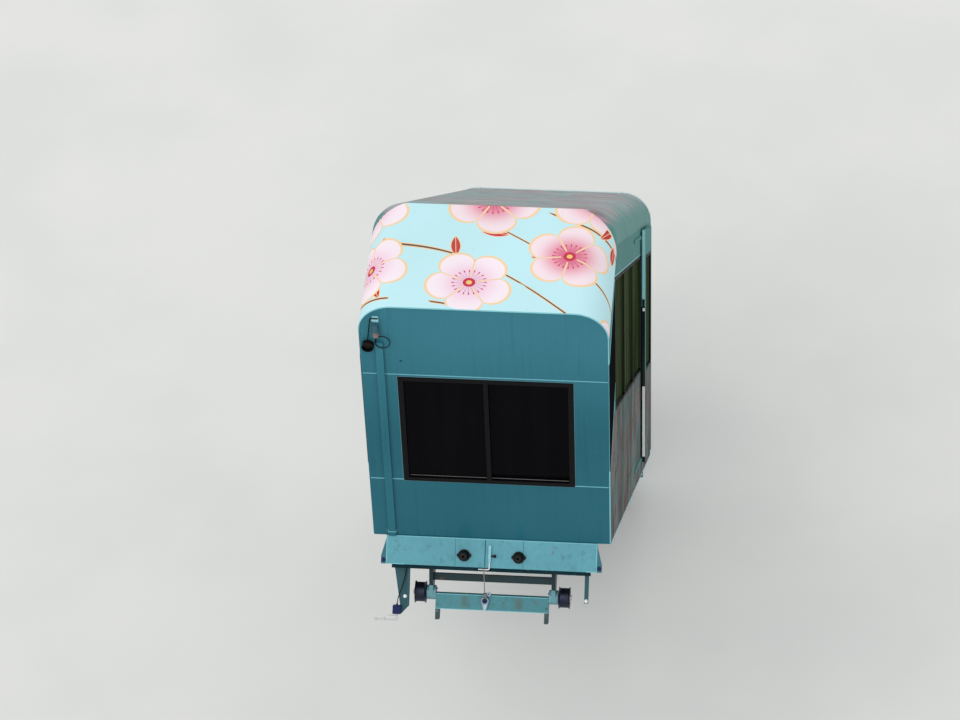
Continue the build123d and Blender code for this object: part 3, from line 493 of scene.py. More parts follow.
def add_stems(finish, colour, sheet, across, length):
    """Stems wind along the sheet and break off now and then."""
    bend = finish.maths("SINE", across * 3.1 + finish.maths("SINE", length * 1.7) * 1.4) * 0.13
    row = (length + across * 0.45 + bend) / stem_spacing
    off_stem = finish.unsigned(finish.maths("FRACT", row) - 0.5) * stem_spacing
    unbroken = finish.noise(1.4, 1.0, sheet).rise(0.43, 0.45)
    colour = finish.mix((off_stem < stem_rim) * unbroken, colour, outline_peach)
    return finish.mix((off_stem < stem_half) * unbroken, colour, stem_brown)


def add_leaves(finish, colour, sheet):
    """A lens-shaped leaf with a pale rib in every other small cell."""
    dx, dy, chance, turn, tint = cells(finish, sheet, scale=3.6, randomness=0.75)
    cosine = finish.maths("COSINE", turn)
    sine = finish.maths("SINE", turn)
    lengthwise = dx * cosine + dy * sine
    sideways = finish.unsigned(dy * cosine - dx * sine)
    reach = finish.maths("MAXIMUM", 1 - (lengthwise / leaf_half) ** 2, 0.0)
    leaf = reach * leaf_width - sideways
    shown = chance > 0.5
    colour = finish.mix((leaf > -leaf_rim) * shown * (reach > 0), colour, outline_peach)
    colour = finish.mix((leaf > 0) * shown, colour, finish.mix(tint > 0.45, brick, crimson))
    return finish.mix((sideways < rib_half) * (leaf > 0) * shown, colour, outline_peach)


print("stems every", stem_spacing, "m, leaves", 2 * leaf_half, "m long")


# %% Blossoms
blossom_size = 0.25
blossom_growth = 0.09
petals = 5
stamens = 20


def add_blossoms(finish, colour, sheet):
    """A five-petal blossom in nearly every large cell, in polar coordinates round its centre."""
    dx, dy, chance, turn, tint = cells(finish, sheet, scale=1.42, randomness=0.6)
    size = blossom_size + chance * blossom_growth
    angle = finish.maths("ARCTAN2", dy, dx) + turn
    radius = finish.maths("SQRT", dx * dx + dy * dy) / size
    lobe = finish.unsigned(finish.maths("COSINE", angle * (petals / 2)))
    edge = 0.62 + finish.maths("SQRT", lobe) * 0.38
    blush = finish.mix(tint > 0.8, petal_pink, petal_deep)
    petal = finish.mix(radius.rise(0.15, 0.9) * 0.85, blush, petal_white)
    petal = finish.mix((lobe < 0.05 / radius) * (radius > 0.2), petal, outline_peach)
    # Stamens with their tips, round a crimson heart with a yellow eye
    stamen = finish.unsigned(finish.maths("COSINE", angle * (stamens / 2)))
    petal = finish.mix((stamen < 0.028 / radius) * (radius > 0.16) * (radius < 0.36), petal, plum)
    petal = finish.mix((stamen < 0.36) * (radius > 0.35) * (radius < 0.42), petal, crimson)
    petal = finish.mix(radius < 0.15, petal, crimson)
    petal = finish.mix(radius < 0.07, petal, pollen)
    shown = chance > 0.1
    colour = finish.mix((radius < edge + 0.07) * shown, colour, outline_peach)
    return finish.mix((radius < edge) * shown, colour, petal)


def blossoms(finish, sheet, across, length):
    """The whole print over its ground colour."""
    colour = add_stems(finish, film_ground, sheet, across, length)
    return add_blossoms(finish, add_leaves(finish, colour, sheet), sheet)


print("blossoms", blossom_size, "to", blossom_size + blossom_growth, "m in radius")


# %% Film on the roof
def film_surface(finish, colour, veil_share, gloss):
    """Vinyl: glossy, a little dusty, with fine specks of dirt."""
    speck = finish.noise(55.0, 2.0).rise(0.74, 0.78)
    cloud = finish.noise(1.1, 6.0).rise(0.35, 0.8)
    dusty = finish.mix(cloud * veil_share, colour, seen(150, 170, 160))
    dirty = finish.mix(speck * 0.5, dusty, seen(70, 84, 74))
    fine = finish.noise(45.0, 4.0)
    return finish.coated(
        gloss, 0.18,
        base_color=dirty,
        roughness=0.3 + fine * 0.14 + cloud * veil_share * 0.4,
        normal=finish.relief(finish.noise(3.0) * 0.0008, 0.5),
    )


def roof_film_finish():
    """The film on the roof: clean on the level part, washed with a painted reflection on the slope, and
    bare paint below.
    """
    finish = Finish("roof_film")
    x, y, z = finish.parts(finish.here)
    over = over_of(y, z) - spring_over
    level = z - spring_z
    sloping = y > fold_y
    height = level + (over - level) * sloping
    reach = finish.unsigned(x)
    beyond = finish.maths("MAXIMUM", reach - straight_half, 0.0)
    turned = finish.maths("ARCTAN2", beyond, height) * corner_radius
    across = finish.maths("SIGN", x) * (finish.maths("MINIMUM", reach, straight_half) + turned)
    length = (y - fold_y) * (1 + sloping * (1 / over_rails.z - 1))
    sheet = finish.join(across + 0.37, length + 0.21)
    printed = blossoms(finish, sheet, across, length)
    # Rain runs outwards over the sloping roof, so its dirt lies in streaks across the sheet
    streak = finish.noise(1.0, 5.0, finish.join(across * 2.2, length * 12)).rise(0.35, 0.7)
    blotch = finish.noise(1.0, 5.0, finish.join(across * 3.0, length * 3.0)).rise(0.38, 0.62)
    # On the slope a grey and lilac wash covers most of the print: a painted reflection of the surroundings.
    slope_wash = finish.mix(0.22, finish.mix(blotch, seen(146, 132, 142), seen(122, 152, 148)), printed)
    slope_wash = finish.mix(streak * 0.4, slope_wash, seen(84, 88, 84))
    # Thin pale streaks are painted highlights on the slope.
    glint_streak = finish.noise(1.0, 4.0, finish.join(across * 2.6, length * 20)).rise(0.57, 0.63)
    slope_wash = finish.mix(glint_streak * 0.6, slope_wash, seen(196, 204, 206))
    paint = finish.mix(streak * 0.45, seen(88, 148, 145), seen(46, 100, 97))
    rounding = (turned + (streak - 0.5) * 0.14).rise(0.12, 0.24)
    slope_colour = finish.mix(rounding, slope_wash, paint)
    beyond_fold = y > fold_y - turned * film_slant
    return film_surface(finish, finish.mix(beyond_fold, printed, slope_colour), veil_share=0.12, gloss=0.2)


film_slant = 0.5
roof_film = roof_film_finish()
print("roof film nodes", len(roof_film.node_tree.nodes))


# %% Film on the sides
def side_film_finish(name, on_leaf=False):
    """The same print on the side walls, where the sheet is upright and needs no unrolling."""
    finish = Finish(name)
    x, y, z = finish.parts(finish.here)
    across = y + finish.maths("SIGN", x) * 3.7
    sheet = finish.join(across, z + 0.15)
    printed = blossoms(finish, sheet, across, z)
    # Most of the print is covered by a dark grey-green in streaks: part dirt, part painted shade and
    # painted reflection of dark surroundings.
    streak = finish.noise(1.0, 5.0, finish.stretched((5, 3.5, 0.8))).rise(0.3, 0.75)
    colour = finish.mix(0.81 + streak * 0.15, printed, seen(40, 48, 41))
    if on_leaf:
        # The leaf has film under its window only. Its leading edge is bare, and dark under the latch
        colour = finish.mix(over_of(y, z) > leaf_sill, colour, seen(84, 140, 140))
        edge = finish.mix(z > latch_z, seen(22, 34, 34), seen(166, 224, 226))
        colour = finish.mix(y < door_start + 0.002, colour, edge)
    return film_surface(finish, colour, veil_share=0.1, gloss=0.08)


door_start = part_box("door_leaf")[0].y
latch_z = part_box("door_edge_strip")[1].z + 0.98
leaf_frame_low, leaf_frame_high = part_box("door_window_frame")
leaf_sill = over_of(leaf_frame_high.y, leaf_frame_low.z)
side_film = side_film_finish("side_film")
door_film = side_film_finish("door_film", on_leaf=True)
print("side film nodes", len(side_film.node_tree.nodes), "door film nodes", len(door_film.node_tree.nodes))

# %% [markdown]
# ## Small finishes
# Tinted glass lets a little of the cabin through, and rain has left streaks on the long side panes;
# the green of those panes and their pale streaks are in part painted reflection and shade. Sash
# frames are black anodised aluminium, dusty in patches. The wheels are dark steel with turning marks,
# darkened further as painted shade. The lever, the siren and its bracket have enamel in two colours,
# and the bearings have a pale lit tone below and a dark shaded one above: painted light and shade.


# %% Glass
def glass_finish(name, deep, streaky, streaks, gloss):
    """Dark tinted glass with dust and rain streaks. The dust also hides more of the inside. On the side
    panes the tint and the streaks are in part painted reflection and shade.
    """
    finish = Finish(name)
    dust = finish.noise(2.0, 6.0).rise(0.45, 0.85)
    streak = finish.noise(1.0, 5.0, finish.stretched((9, 9, 0.5))).rise(0.35, 0.7)
    return finish.coated(
        gloss, 0.05,
        base_color=finish.mix(streak * streaks + dust * 0.08, deep, streaky),
        roughness=0.03 + dust * 0.08,
        alpha=0.975 + dust * 0.02,
    )


end_glass = glass_finish("end_glass", seen(7, 7, 10), seen(18, 20, 24), streaks=0.15, gloss=0.06)
# The side panes' green and olive streaks are partly painted reflection and shade of the surroundings.
side_glass = glass_finish("side_glass", seen(30, 46, 28), seen(72, 80, 48), streaks=0.9, gloss=0.03)
quarter_glass = glass_finish("quarter_glass", seen(7, 11, 11), seen(14, 20, 18), streaks=0.2, gloss=0.01)
print("glass", end_glass.name, side_glass.name, quarter_glass.name)


# %% Metal
def metal_finish(name, colour, dull, roughness, brushing, wear=0.3):
    finish = Finish(name)
    scratch = finish.noise(1.0, 5.0, finish.stretched(brushing))
    patch = finish.noise(9.0, 5.0).rise(0.4, 0.75)
    return finish.surface(
        base_color=finish.mix(patch * wear, colour, dull),
        metallic=1 - patch * wear,
        roughness=roughness + scratch * 0.16 + patch * 0.2,
        normal=finish.relief(scratch * 0.00004),
    )


# The wheels' steel is darker than bare steel, partly as painted shade under the car.
shaded_tyre_steel = metal_finish(
    "shaded_tyre_steel", seen(46, 50, 66), seen(22, 26, 34),
    roughness=0.34, brushing=(240, 8, 8), wear=0.7,
)
link_steel = metal_finish(
    "link_steel", seen(150, 152, 150), seen(92, 92, 88),
    roughness=0.4, brushing=(40, 40, 40), wear=0.5,
)
runner_metal = metal_finish(
    "runner_metal", seen(112, 108, 108), seen(70, 66, 64),
    roughness=0.4, brushing=(6, 160, 160), wear=0.4,
)
print("metal", shaded_tyre_steel.name, link_steel.name, runner_metal.name)


# %% Rubber and plastic
def dark_finish(name, colour, dust_colour, roughness, dust=0.3):
    finish = Finish(name)
    patch = finish.noise(12.0, 5.0).rise(0.45, 0.8)
    grain = finish.noise(420.0, 2.0)
    return finish.coated(
        0.25, 0.3,
        base_color=finish.mix(patch * dust, colour, dust_colour),
        roughness=roughness + patch * 0.2,
        normal=finish.relief(grain * 0.00006),
    )


black_sash = dark_finish("black_sash", seen(5, 5, 7), seen(18, 19, 23), roughness=0.34, dust=0.2)
boot_rubber = dark_finish("boot_rubber", seen(12, 13, 14), seen(58, 50, 44), roughness=0.6)
cable_rubber = dark_finish("cable_rubber", seen(14, 16, 18), seen(48, 50, 50), roughness=0.5)
switch_case = dark_finish("switch_case", seen(14, 30, 80), seen(24, 38, 66), roughness=0.38)
print("rubber and plastic", boot_rubber.name, cable_rubber.name, switch_case.name)


# %% Enamel in two colours
def two_tone(name, upper, lower, height, along_z=False):
    """Two colours that meet at a height, over the rails or straight up. For most pieces it is enamel in two
    colours; on the bearings it is a lit and a shaded tone, which is painted light and shade.
    """
    finish = Finish(name)
    _, y, z = finish.parts(finish.here)
    level = z if along_z else over_of(y, z)
    blur = (finish.noise(60.0) - 0.5) * 0.01
    above = (level + blur).rise(height - 0.004, height + 0.004)
    patch = finish.noise(30.0, 4.0).rise(0.45, 0.8)
    colour = finish.mix(above, lower, upper)
    return finish.coated(
        0.4, 0.2,
        base_color=finish.mix(patch * 0.35, colour, seen(40, 62, 68)),
        roughness=0.38 + patch * 0.2,
        normal=finish.relief(patch * 0.0002),
    )


lever_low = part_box("slack_lever")[0]
crank_top = over_of(lever_low.y, lever_low.z) + 0.058
siren_low, siren_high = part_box("siren")
siren_belt = siren_low.z + 0.045
lever_enamel = two_tone("lever_enamel", seen(136, 194, 206), seen(226, 232, 232), crank_top)
# The bearings are pale below and dark above: painted light on the housings and painted shade on the
# hangers.
bearing_lit_and_shaded = two_tone("bearing_lit_and_shaded", seen(34, 52, 56), seen(106, 154, 163), axle_over + 0.06)
siren_enamel = two_tone("siren_enamel", seen(58, 96, 112), seen(136, 118, 116), siren_belt, along_z=True)
bracket_enamel = two_tone(
    "bracket_enamel", seen(158, 216, 224), seen(62, 124, 140), siren_high.z, along_z=True
)
print("the lever turns white at", round(crank_top, 3), "over the rails")


# %% Side sashes and floor
def side_sash_finish():
    """Black rims, and mullions painted the same green as the panes between them, which is partly painted
    reflection and shade.
    """
    finish = Finish("side_sash")
    _, y, z = finish.parts(finish.here)
    over = over_of(y, z)
    inner = (over > sash_sill + 0.036) * (over < sash_head - 0.036) * (y > sash_start + 0.04)
    patch = finish.noise(1.0, 5.0, finish.stretched((9, 9, 0.5))).rise(0.35, 0.7)
    pane_green = finish.mix(patch, seen(26, 38, 26), seen(52, 58, 40))
    return finish.surface(
        base_color=finish.mix(inner, seen(8, 9, 10), pane_green),
        roughness=0.5 + patch * 0.2,
        specular_ior_level=0.05,
    )


def floor_finish():
    """Grey vinyl with small flecks, scuffed where people walk."""
    finish = Finish("floor_vinyl")
    fleck = finish.noise(160.0, 2.0).rise(0.56, 0.6)
    scuff = finish.noise(4.0, 6.0).rise(0.4, 0.8)
    base = finish.mix(fleck * 0.6, seen(104, 110, 112), seen(160, 164, 162))
    return finish.surface(
        base_color=finish.mix(scuff * 0.35, base, seen(72, 72, 70)),
        roughness=0.5 + scuff * 0.2,
        normal=finish.relief(finish.noise(220.0) * 0.0001),
    )


side_sash = side_sash_finish()
floor_vinyl = floor_finish()
# Near white under a strong coat: a painted reflection on the stainless strip low on the door's leading
# edge, and a painted glint on the latch's tongue.
reflection_white = painted(
    "reflection_white", seen(244, 244, 246), seen(196, 198, 200),
    roughness=0.2, clouding=0.1, running=0.1, gloss=0.6,
)
rod_enamel = painted(
    "rod_enamel", seen(206, 208, 210), seen(150, 150, 146),
    roughness=0.3, clouding=0.3, running=0.2, gloss=0.5,
)
shoe_paint = painted("shoe_paint", seen(112, 184, 188), seen(60, 124, 128), gloss=0.3)
print("materials", len(bpy.data.materials))

# %% [markdown]
# ## Finishes on the CAD nodes
# A CAD node keeps its mesh, and only its material changes. The table goes by finish, because that
# is how the real car is painted: everything of one finish is done at once.

# %% Assign the finishes
finish_of = {
    shell_paint: [
        "uphill_wall_lower", "uphill_wall_upper", "downhill_wall_lower", "downhill_wall_upper",
        "end_wall_posts",
    ],
    side_paint: ["right_wall_upper", "left_wall_upper", "side_wall_posts", "door_rails"],
    duct_paint: ["cable_duct"],
    roof_film: ["roof_level", "roof_slope", "cantrails_level", "cantrails_slope"],
    side_film: ["left_wall_lower", "right_wall_lower", "side_sills"],
    door_film: ["door_leaf"],
    apron_paint: ["aprons"],
    guard_paint: ["guard_plates"],
    beam_paint: ["headstocks", "main_beams", "cross_tubes"],
    bearing_lit_and_shaded: ["bearing_blocks"],
    claw_paint: ["rail_claws"],
    axle_paint: ["axle_beams", "link_anchor"],
    brace_paint: ["axle_braces"],
    end_glass: ["end_window_panes"],
    side_glass: ["side_window_panes", "door_pane"],
    black_sash: ["end_window_frames", "door_window_frame"],
    side_sash: ["side_window_frames"],
    boot_rubber: ["rope_sockets", "horn", "lever_knob"],
    cable_rubber: ["horn_cable", "switch_cable"],
    switch_case: ["limit_switch"],
    shoe_paint: ["door_shoes"],
    reflection_white: ["door_edge_strip"],
    rod_enamel: ["switch_arm"],
    link_steel: ["brake_link"],
    lever_enamel: ["slack_lever"],
    bracket_enamel: ["horn_bracket"],
    siren_enamel: ["siren"],
    shaded_tyre_steel: [f"wheel_{end}_{side}" for end in ("uphill", "downhill") for side in ("left", "right")],
    floor_vinyl: ["floor_pan", "floor_treads", "floor_risers", "aisle_steps", "bench_plinths"],
}
for material, nodes in finish_of.items():
    for node in nodes:
        held = frame["nodes"][node].data.materials
        for place in range(len(held)):
            held[place] = material
print("finished nodes", sum(len(nodes) for nodes in finish_of.values()))

# %% [markdown]
# ## Mouldings along the walls
# The end walls carry thin half-round beads across the sheet metal, and a drip rail runs above the
# side windows. Each is a bar of one section along a straight line, so one small tree serves: it
# turns the edges of a mesh into a curve, sweeps a round profile along it, and keeps the finish.


# %% Pieces
def settled(name, shape):
    """Turns the shape being edited into a mesh."""
    mesh = bpy.data.meshes.new(name)
    shape.to_mesh(mesh)
    shape.free()
    return mesh


def kept(name, mesh, body):
    """Keeps a mesh as a piece that rides on a body."""
    piece = placed(name, mesh)
    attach(piece, body)
    print(name, "faces", len(mesh.polygons))


# %% Geometry trees
class Growth:
    """A geometry tree with named inputs. It ends in Realize Instances and Set Material."""

    def __init__(self, name, inputs):
        self.tree = bpy.data.node_groups.new(name, "GeometryNodeTree")
        self.names = {}
        for given, kind in {"Guide": "Geometry", **inputs, "Finish": "Material"}.items():
            socket = self.tree.interface.new_socket(given, in_out="INPUT", socket_type="NodeSocket" + kind)
            self.names[given] = socket.identifier
        self.tree.interface.new_socket("Geometry", in_out="OUTPUT", socket_type="NodeSocketGeometry")
        self.given = self.tree.nodes.new("NodeGroupInput").outputs

    def node(self, kind, settings, inputs):
        return add_node(self.tree, kind, settings, inputs).outputs[0]

    def end(self, geometry):
        whole = self.node("GeometryNodeRealizeInstances", {}, {0: geometry})
        inputs = {"Geometry": whole, "Material": self.given["Finish"]}
        painted = self.node("GeometryNodeSetMaterial", {}, inputs)
        self.tree.links.new(painted, self.tree.nodes.new("NodeGroupOutput").inputs[0])
        return self

    def grow(self, name, body, guide, slot, **values):
        """Runs the tree on a guide mesh and keeps the result as a plain piece on a body."""
        holder = placed(name + "_guide", guide)
        modifier = holder.modifiers.new("grow", "NODES")
        modifier.node_group = self.tree
        for given, value in values.items():
            modifier[self.names[given.capitalize()]] = value
        bpy.context.view_layer.update()
        evaluated = holder.evaluated_get(bpy.context.evaluated_depsgraph_get())
        mesh = bpy.data.meshes.new_from_object(evaluated)
        bpy.data.objects.remove(holder)
        kept(name, mesh, body)


# %% The moulding tree
def moulding_tree():
    """Sweeps a round section along the edges of the guide."""
    growth = Growth("moulding", {"Radius": "Float", "Sides": "Int"})
    line = growth.node("GeometryNodeMeshToCurve", {}, {0: growth.given["Guide"]})
    section = {"Resolution": growth.given["Sides"], "Radius": growth.given["Radius"]}
    profile = growth.node("GeometryNodeCurvePrimitiveCircle", {}, section)
    sweep = {"Curve": line, "Profile Curve": profile, "Fill Caps": True}
    return growth.end(growth.node("GeometryNodeCurveToMesh", {}, sweep))


def lines_mesh(name, lines):
    """A mesh with only edges: each line is a list of points."""
    points = []
    edges = []
    for line in lines:
        edges += [(len(points) + i, len(points) + i + 1) for i in range(len(line) - 1)]
        points += [tuple(p) for p in line]
    mesh = bpy.data.meshes.new(name)
    mesh.from_pydata(points, edges, [])
    return mesh


moulding = moulding_tree()


def mould(name, lines, finish, slot, radius, body="car", sides=10):
    """Sweeps bars along the lines, as one piece."""
    moulding.grow(name, body, lines_mesh(name, lines), slot, radius=radius, sides=sides, finish=finish)


print("moulding inputs", list(moulding.names))


# %% [markdown]
# ## Beads on the end walls
# Two beads cross each end wall, one under the roof and one at the window's foot. They stop at the
# window frame, at the duct and just short of the corners.

# %% End-wall beads
bead_radius = 0.0045
bead_heights = [1.755, 0.633]
window_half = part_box("end_window_frames")[1].x
window_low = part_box("uphill_wall_lower")[1].z
window_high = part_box("uphill_wall_upper")[0].z
duct_low, duct_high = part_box("cable_duct")
bead_end = half_width - 0.012
far_foot_z = (skirt_over - far_face_y * over_rails.y) / over_rails.z
far_window_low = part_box("downhill_wall_lower")[1].z
far_window_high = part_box("downhill_wall_upper")[0].z


def bead_lines(face_y, heights, low, high, gap):
    """The stretches of the beads on one end wall, cut by its window and by the duct, if it has one."""
    lines = []
    for z in heights:
        stretches = [(-bead_end, gap[0]), (gap[1], bead_end)] if gap else [(-bead_end, bead_end)]
        if low < z < high:
            stretches = [(a, min(b, -window_half)) for a, b in stretches if a < -window_half]
            stretches.append((window_half, bead_end))
        lines += [[(a, face_y, z), (b, face_y, z)] for a, b in stretches]
    return lines


uphill_heights = [foot_z + height for height in bead_heights]
downhill_heights = [far_window_low - 0.03, far_window_high + 0.05]
bead_runs = bead_lines(end_face_y, uphill_heights, window_low, window_high, (duct_low.x, duct_high.x))
bead_runs += bead_lines(far_face_y, downhill_heights, far_window_low, far_window_high, None)
seam_bead_paint = painted("seam_bead_paint", seen(112, 178, 192), seen(80, 142, 156), clouding=0.2)
mould("end_wall_beads", bead_runs, seam_bead_paint, "shell_paint", radius=bead_radius, sides=8)

# %% [markdown]
# ## Edges that catch the light
# The roof sheet laps over the end walls and ends in a rolled edge, a thin bright line round the teal
# wall. The line follows the roof's own section. At the right corner it runs on down to the quarter
# light, becomes a thin fold beside it, and is thick again below.

# %% Rolled edges of the roof and the corners
edge_radius = 0.0045
arc_steps = 14


def shell_outline(y, low_z, arc_z, arc_radius):
    """The outline of an end wall from one foot over the roof to the other."""
    turns = [math.pi / 2 * i / arc_steps for i in range(arc_steps + 1)]
    arc = [(straight_half + arc_radius * math.cos(t), arc_z + arc_radius * math.sin(t)) for t in turns]
    arc = [(half_width - (corner_radius - arc_radius), low_z)] + arc
    return [(x, y, z) for x, z in arc] + [(-x, y, z) for x, z in reversed(arc)]


quarter_top = 1.97
quarter_foot = 1.13
near_arc = shell_outline(end_face_y - edge_radius, spring_z - 0.05, spring_z, corner_radius - edge_radius)
corner_x = near_arc[0][0]
right_leg = [(corner_x, end_face_y, foot_z + 0.01), on_side(corner_x, end_face_y, quarter_foot)]
upper_leg = [on_side(corner_x, end_face_y, quarter_top)]
near_lines = [upper_leg + near_arc, right_leg]
mould("near_roof_edge", near_lines, bead_paint, "shell_paint", radius=edge_radius, sides=8)
corner_line = [right_leg[-1], upper_leg[0]]
mould("corner_fold", [corner_line], seam_bead_paint, "shell_paint", radius=0.002, sides=6)
slope_fall = (far_face_y - fold_y) * math.tan(slope)
rim_radius = 0.0075
rim_half = half_width - 0.0045
rim_lift = 0.005
far_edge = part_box("roof_slope")[1].y - 0.002
far_arc = [
    on_side(max(-rim_half, min(rim_half, x)), far_edge, spring_over + (z - spring_z) + rim_lift)
    for x, _, z in shell_outline(far_edge, spring_z, spring_z, corner_radius)
]
far_legs = [(side * rim_half, far_edge, far_foot_z + 0.01) for side in (1, -1)]
rim_paint = painted("rim_paint", seen(226, 240, 240), seen(150, 176, 178), roughness=0.3, clouding=0.2)
far_line = far_legs[:1] + far_arc + far_legs[1:]
mould("far_roof_edge", [far_line], rim_paint, "shell_paint", radius=rim_radius, sides=8)

# %% [markdown]
# ## Rubber and metal round the glass
# A black rubber gasket seals each sash in the wall. The uphill window has a painted trim round it, and
# a bright runner at the foot of its panes. Each is a thin bar, so it is another moulding.

# %% Gaskets and runners
gasket_radius = 0.0035


def upright_loop(half, y, low, high):
    """The outline of an opening in an end wall."""
    return [(-half, y, low), (half, y, low), (half, y, high), (-half, y, high), (-half, y, low)]


gasket_lines = [
    upright_loop(window_half, end_face_y, window_low, window_high),
    upright_loop(window_half, far_face_y, far_window_low, far_window_high),
]
mould("end_window_gaskets", gasket_lines, cable_rubber, "black_trim", radius=gasket_radius, sides=6)
trim_paint = painted("trim_paint", seen(92, 136, 148), seen(66, 104, 116), roughness=0.4)
trim_gap = 0.005
trim_low = window_low - trim_gap
trim_high = window_high + trim_gap
trim_line = upright_loop(window_half + trim_gap, end_face_y, trim_low, trim_high)
mould("end_window_trim", [trim_line], trim_paint, "shell_paint", radius=0.0035, sides=6)
runner_inset = 0.045
runner_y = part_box("end_window_panes")[0].y
runner_line = [
    (-window_half + runner_inset, runner_y, window_low + runner_inset),
    (window_half - runner_inset, runner_y, window_low + runner_inset),
]
mould("sash_runner", [runner_line], runner_metal, "bright_steel", radius=0.003, sides=8)

# %% [markdown]
# ## Drip rails and hems
# Rain from the roof would run down the side glass, so a small gutter runs above the windows, down the
# slope with them. A thicker bar hems the foot of each side wall.

# %% Side rails
drip_over = skirt_over + 2.06
side_start = end_face_y + 0.05
side_end = far_face_y - 0.05
drip_start = end_face_y + 0.63
drip_end = end_face_y + 3.98
hem_over = skirt_over + 0.006


def side_bars(inset, start, end, over):
    """The same line on both side walls, sloping with the rails."""
    xs = [-(half_width - inset), half_width - inset]
    return [[on_side(x, start, over), on_side(x, end, over)] for x in xs]


drip_lines = side_bars(0.0015, drip_start, drip_end, drip_over)
mould("drip_rails", drip_lines, bead_paint, "shell_paint", radius=0.0045, sides=8)
hem_lines = side_bars(0.004, side_start, side_end, hem_over)
mould("skirt_hems", hem_lines, bead_paint, "shell_paint", radius=0.006)

# %% [markdown]
# ## Quarter lights
# A small dark pane fills the corner between the end wall and the first side window. It is set nearly
# flush with the sheet metal, so a thin plate with a softened rim and a rubber gasket is enough. A
# bright bead runs above it and another below it.


# %% Plates cut to an outline
def plates(name, outlines, finish, body="car", soft=0.0008):
    """Closed plates as one piece. Each has an outline and the push that makes its thickness."""
    shape = bmesh.new()
    for outline, push in outlines:
        near = [shape.verts.new(point) for point in outline]
        far = [shape.verts.new(Vector(point) + push) for point in outline]
        shape.faces.new(near)
        shape.faces.new(reversed(far))
        for place in range(len(outline)):
            after = (place + 1) % len(outline)
            shape.faces.new((near[after], near[place], far[place], far[after]))
    bmesh.ops.recalc_face_normals(shape, faces=shape.faces)
    bmesh.ops.bevel(shape, geom=shape.edges[:], offset=soft, segments=1, affect="EDGES")
    mesh = settled(name, shape)
    mesh.materials.append(finish)
    kept(name, mesh, body)


# %% Quarter lights and their gaskets
quarter_start = end_face_y + 0.006
quarter_end = frames_low.y - 0.012
quarter_corners = [
    (quarter_start, quarter_foot), (quarter_end, sash_sill + 0.24),
    (quarter_end, sash_head - 0.02), (quarter_start, quarter_top),
]
quarter_outlines = []
quarter_gaskets = []
quarter_trims = []
for side in (-1, 1):
    outline = [on_side(side * (half_width - 0.005), y, over) for y, over in quarter_corners]
    quarter_outlines.append((outline, Vector((side * 0.006, 0, 0))))
    rim = [on_side(side * (half_width - 0.0005), y, over) for y, over in quarter_corners]
    quarter_gaskets.append(rim + rim[:1])
    for first, second, gap in ((0, 1, -0.01), (3, 2, 0.01)):
        ends = (quarter_corners[first], quarter_corners[second])
        quarter_trims.append([on_side(side * (half_width - 0.0015), y, over + gap) for y, over in ends])
plates("quarter_lights", quarter_outlines, quarter_glass)
mould("quarter_gaskets", quarter_gaskets, cable_rubber, "black_trim", radius=0.0025, sides=6)
mould("quarter_trims", quarter_trims, bead_paint, "shell_paint", radius=0.0045, sides=8)

# %% Gaskets of the side windows and of the door window
leaf_head = over_of(leaf_frame_low.y, leaf_frame_high.z)
long_window_end = end_face_y + 3.95


def slanted_loop(x, y_from, y_to, sill, head):
    """The outline of a side window, upright at both ends and sloping with the rails between."""
    turns = [(y_from, sill), (y_to, sill), (y_to, head), (y_from, head), (y_from, sill)]
    return [on_side(x, y, over) for y, over in turns]


window_loops = [
    slanted_loop(half_width, sash_start, long_window_end, sash_sill, sash_head),
    slanted_loop(-half_width, sash_start, long_window_end, sash_sill, sash_head),
    slanted_loop(-half_width, long_window_end + 0.2, frames_high.y, sash_sill, sash_head),
]
mould("side_window_gaskets", window_loops, cable_rubber, "black_trim", radius=0.003, sides=6)
leaf_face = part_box("door_leaf")[1].x
leaf_loop = [slanted_loop(leaf_face, leaf_frame_low.y, leaf_frame_high.y, leaf_sill, leaf_head)]
mould("door_window_gasket", leaf_loop, cable_rubber, "black_trim", radius=0.0025, body="door", sides=6)

# %% [markdown]
# ## Leading edge of the door
# The leaf hangs clear of the wall on its rails. At its leading edge a folded strip closes the gap, with
# a rubber seal below it, and the latch sits at hand height: a dark case with a near-white tongue under
# it, which is a painted glint.

# %% Door edge and latch
leaf_back = leaf_face - 0.022


def edge_block(inner, outer, low, high, reach):
    """A block on the leaf's leading edge, between two heights. Below 0 it reaches downhill."""
    corners = [(inner, low), (outer, low), (outer, high), (inner, high)]
    return [(x, door_start, z) for x, z in corners], Vector((0, -reach, 0))


fold_low = on_side(0, door_start, 0.745).z
fold_high = on_side(0, door_start, 2.735).z
# The fold passes outside the upper rail, with 1 mm to spare
fold_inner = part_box("door_rails")[1].x + 0.001
seal_inner = half_width + 0.006
upper_fold = [edge_block(fold_inner, leaf_back, latch_z, fold_high, -0.0035)]
lower_seal = [edge_block(seal_inner, leaf_back, fold_low, latch_z - 0.002, -0.0035)]
plates("door_edge_fold", upper_fold, shoe_paint, body="door")
plates("door_edge_seal", lower_seal, cable_rubber, body="door")
latch = [edge_block(leaf_back, leaf_face - 0.002, latch_z, latch_z + 0.09, 0.01)]
plates("door_latch", latch, boot_rubber, body="door", soft=0.002)
# The tongue is near white: a painted glint under the latch.
tongue = [edge_block(leaf_back, leaf_face - 0.002, latch_z - 0.05, latch_z - 0.012, 0.006)]
plates("latch_tongue", tongue, reflection_white, body="door", soft=0.002)

# %% [markdown]
# ## Apron edges
# The apron is a folded plate. A pale bead along its edges is a painted highlight where the folds catch
# the light, and an angle behind its lower lip is painted near black, as painted shade under the lip.
# The seams between its panels are filled with sealant.

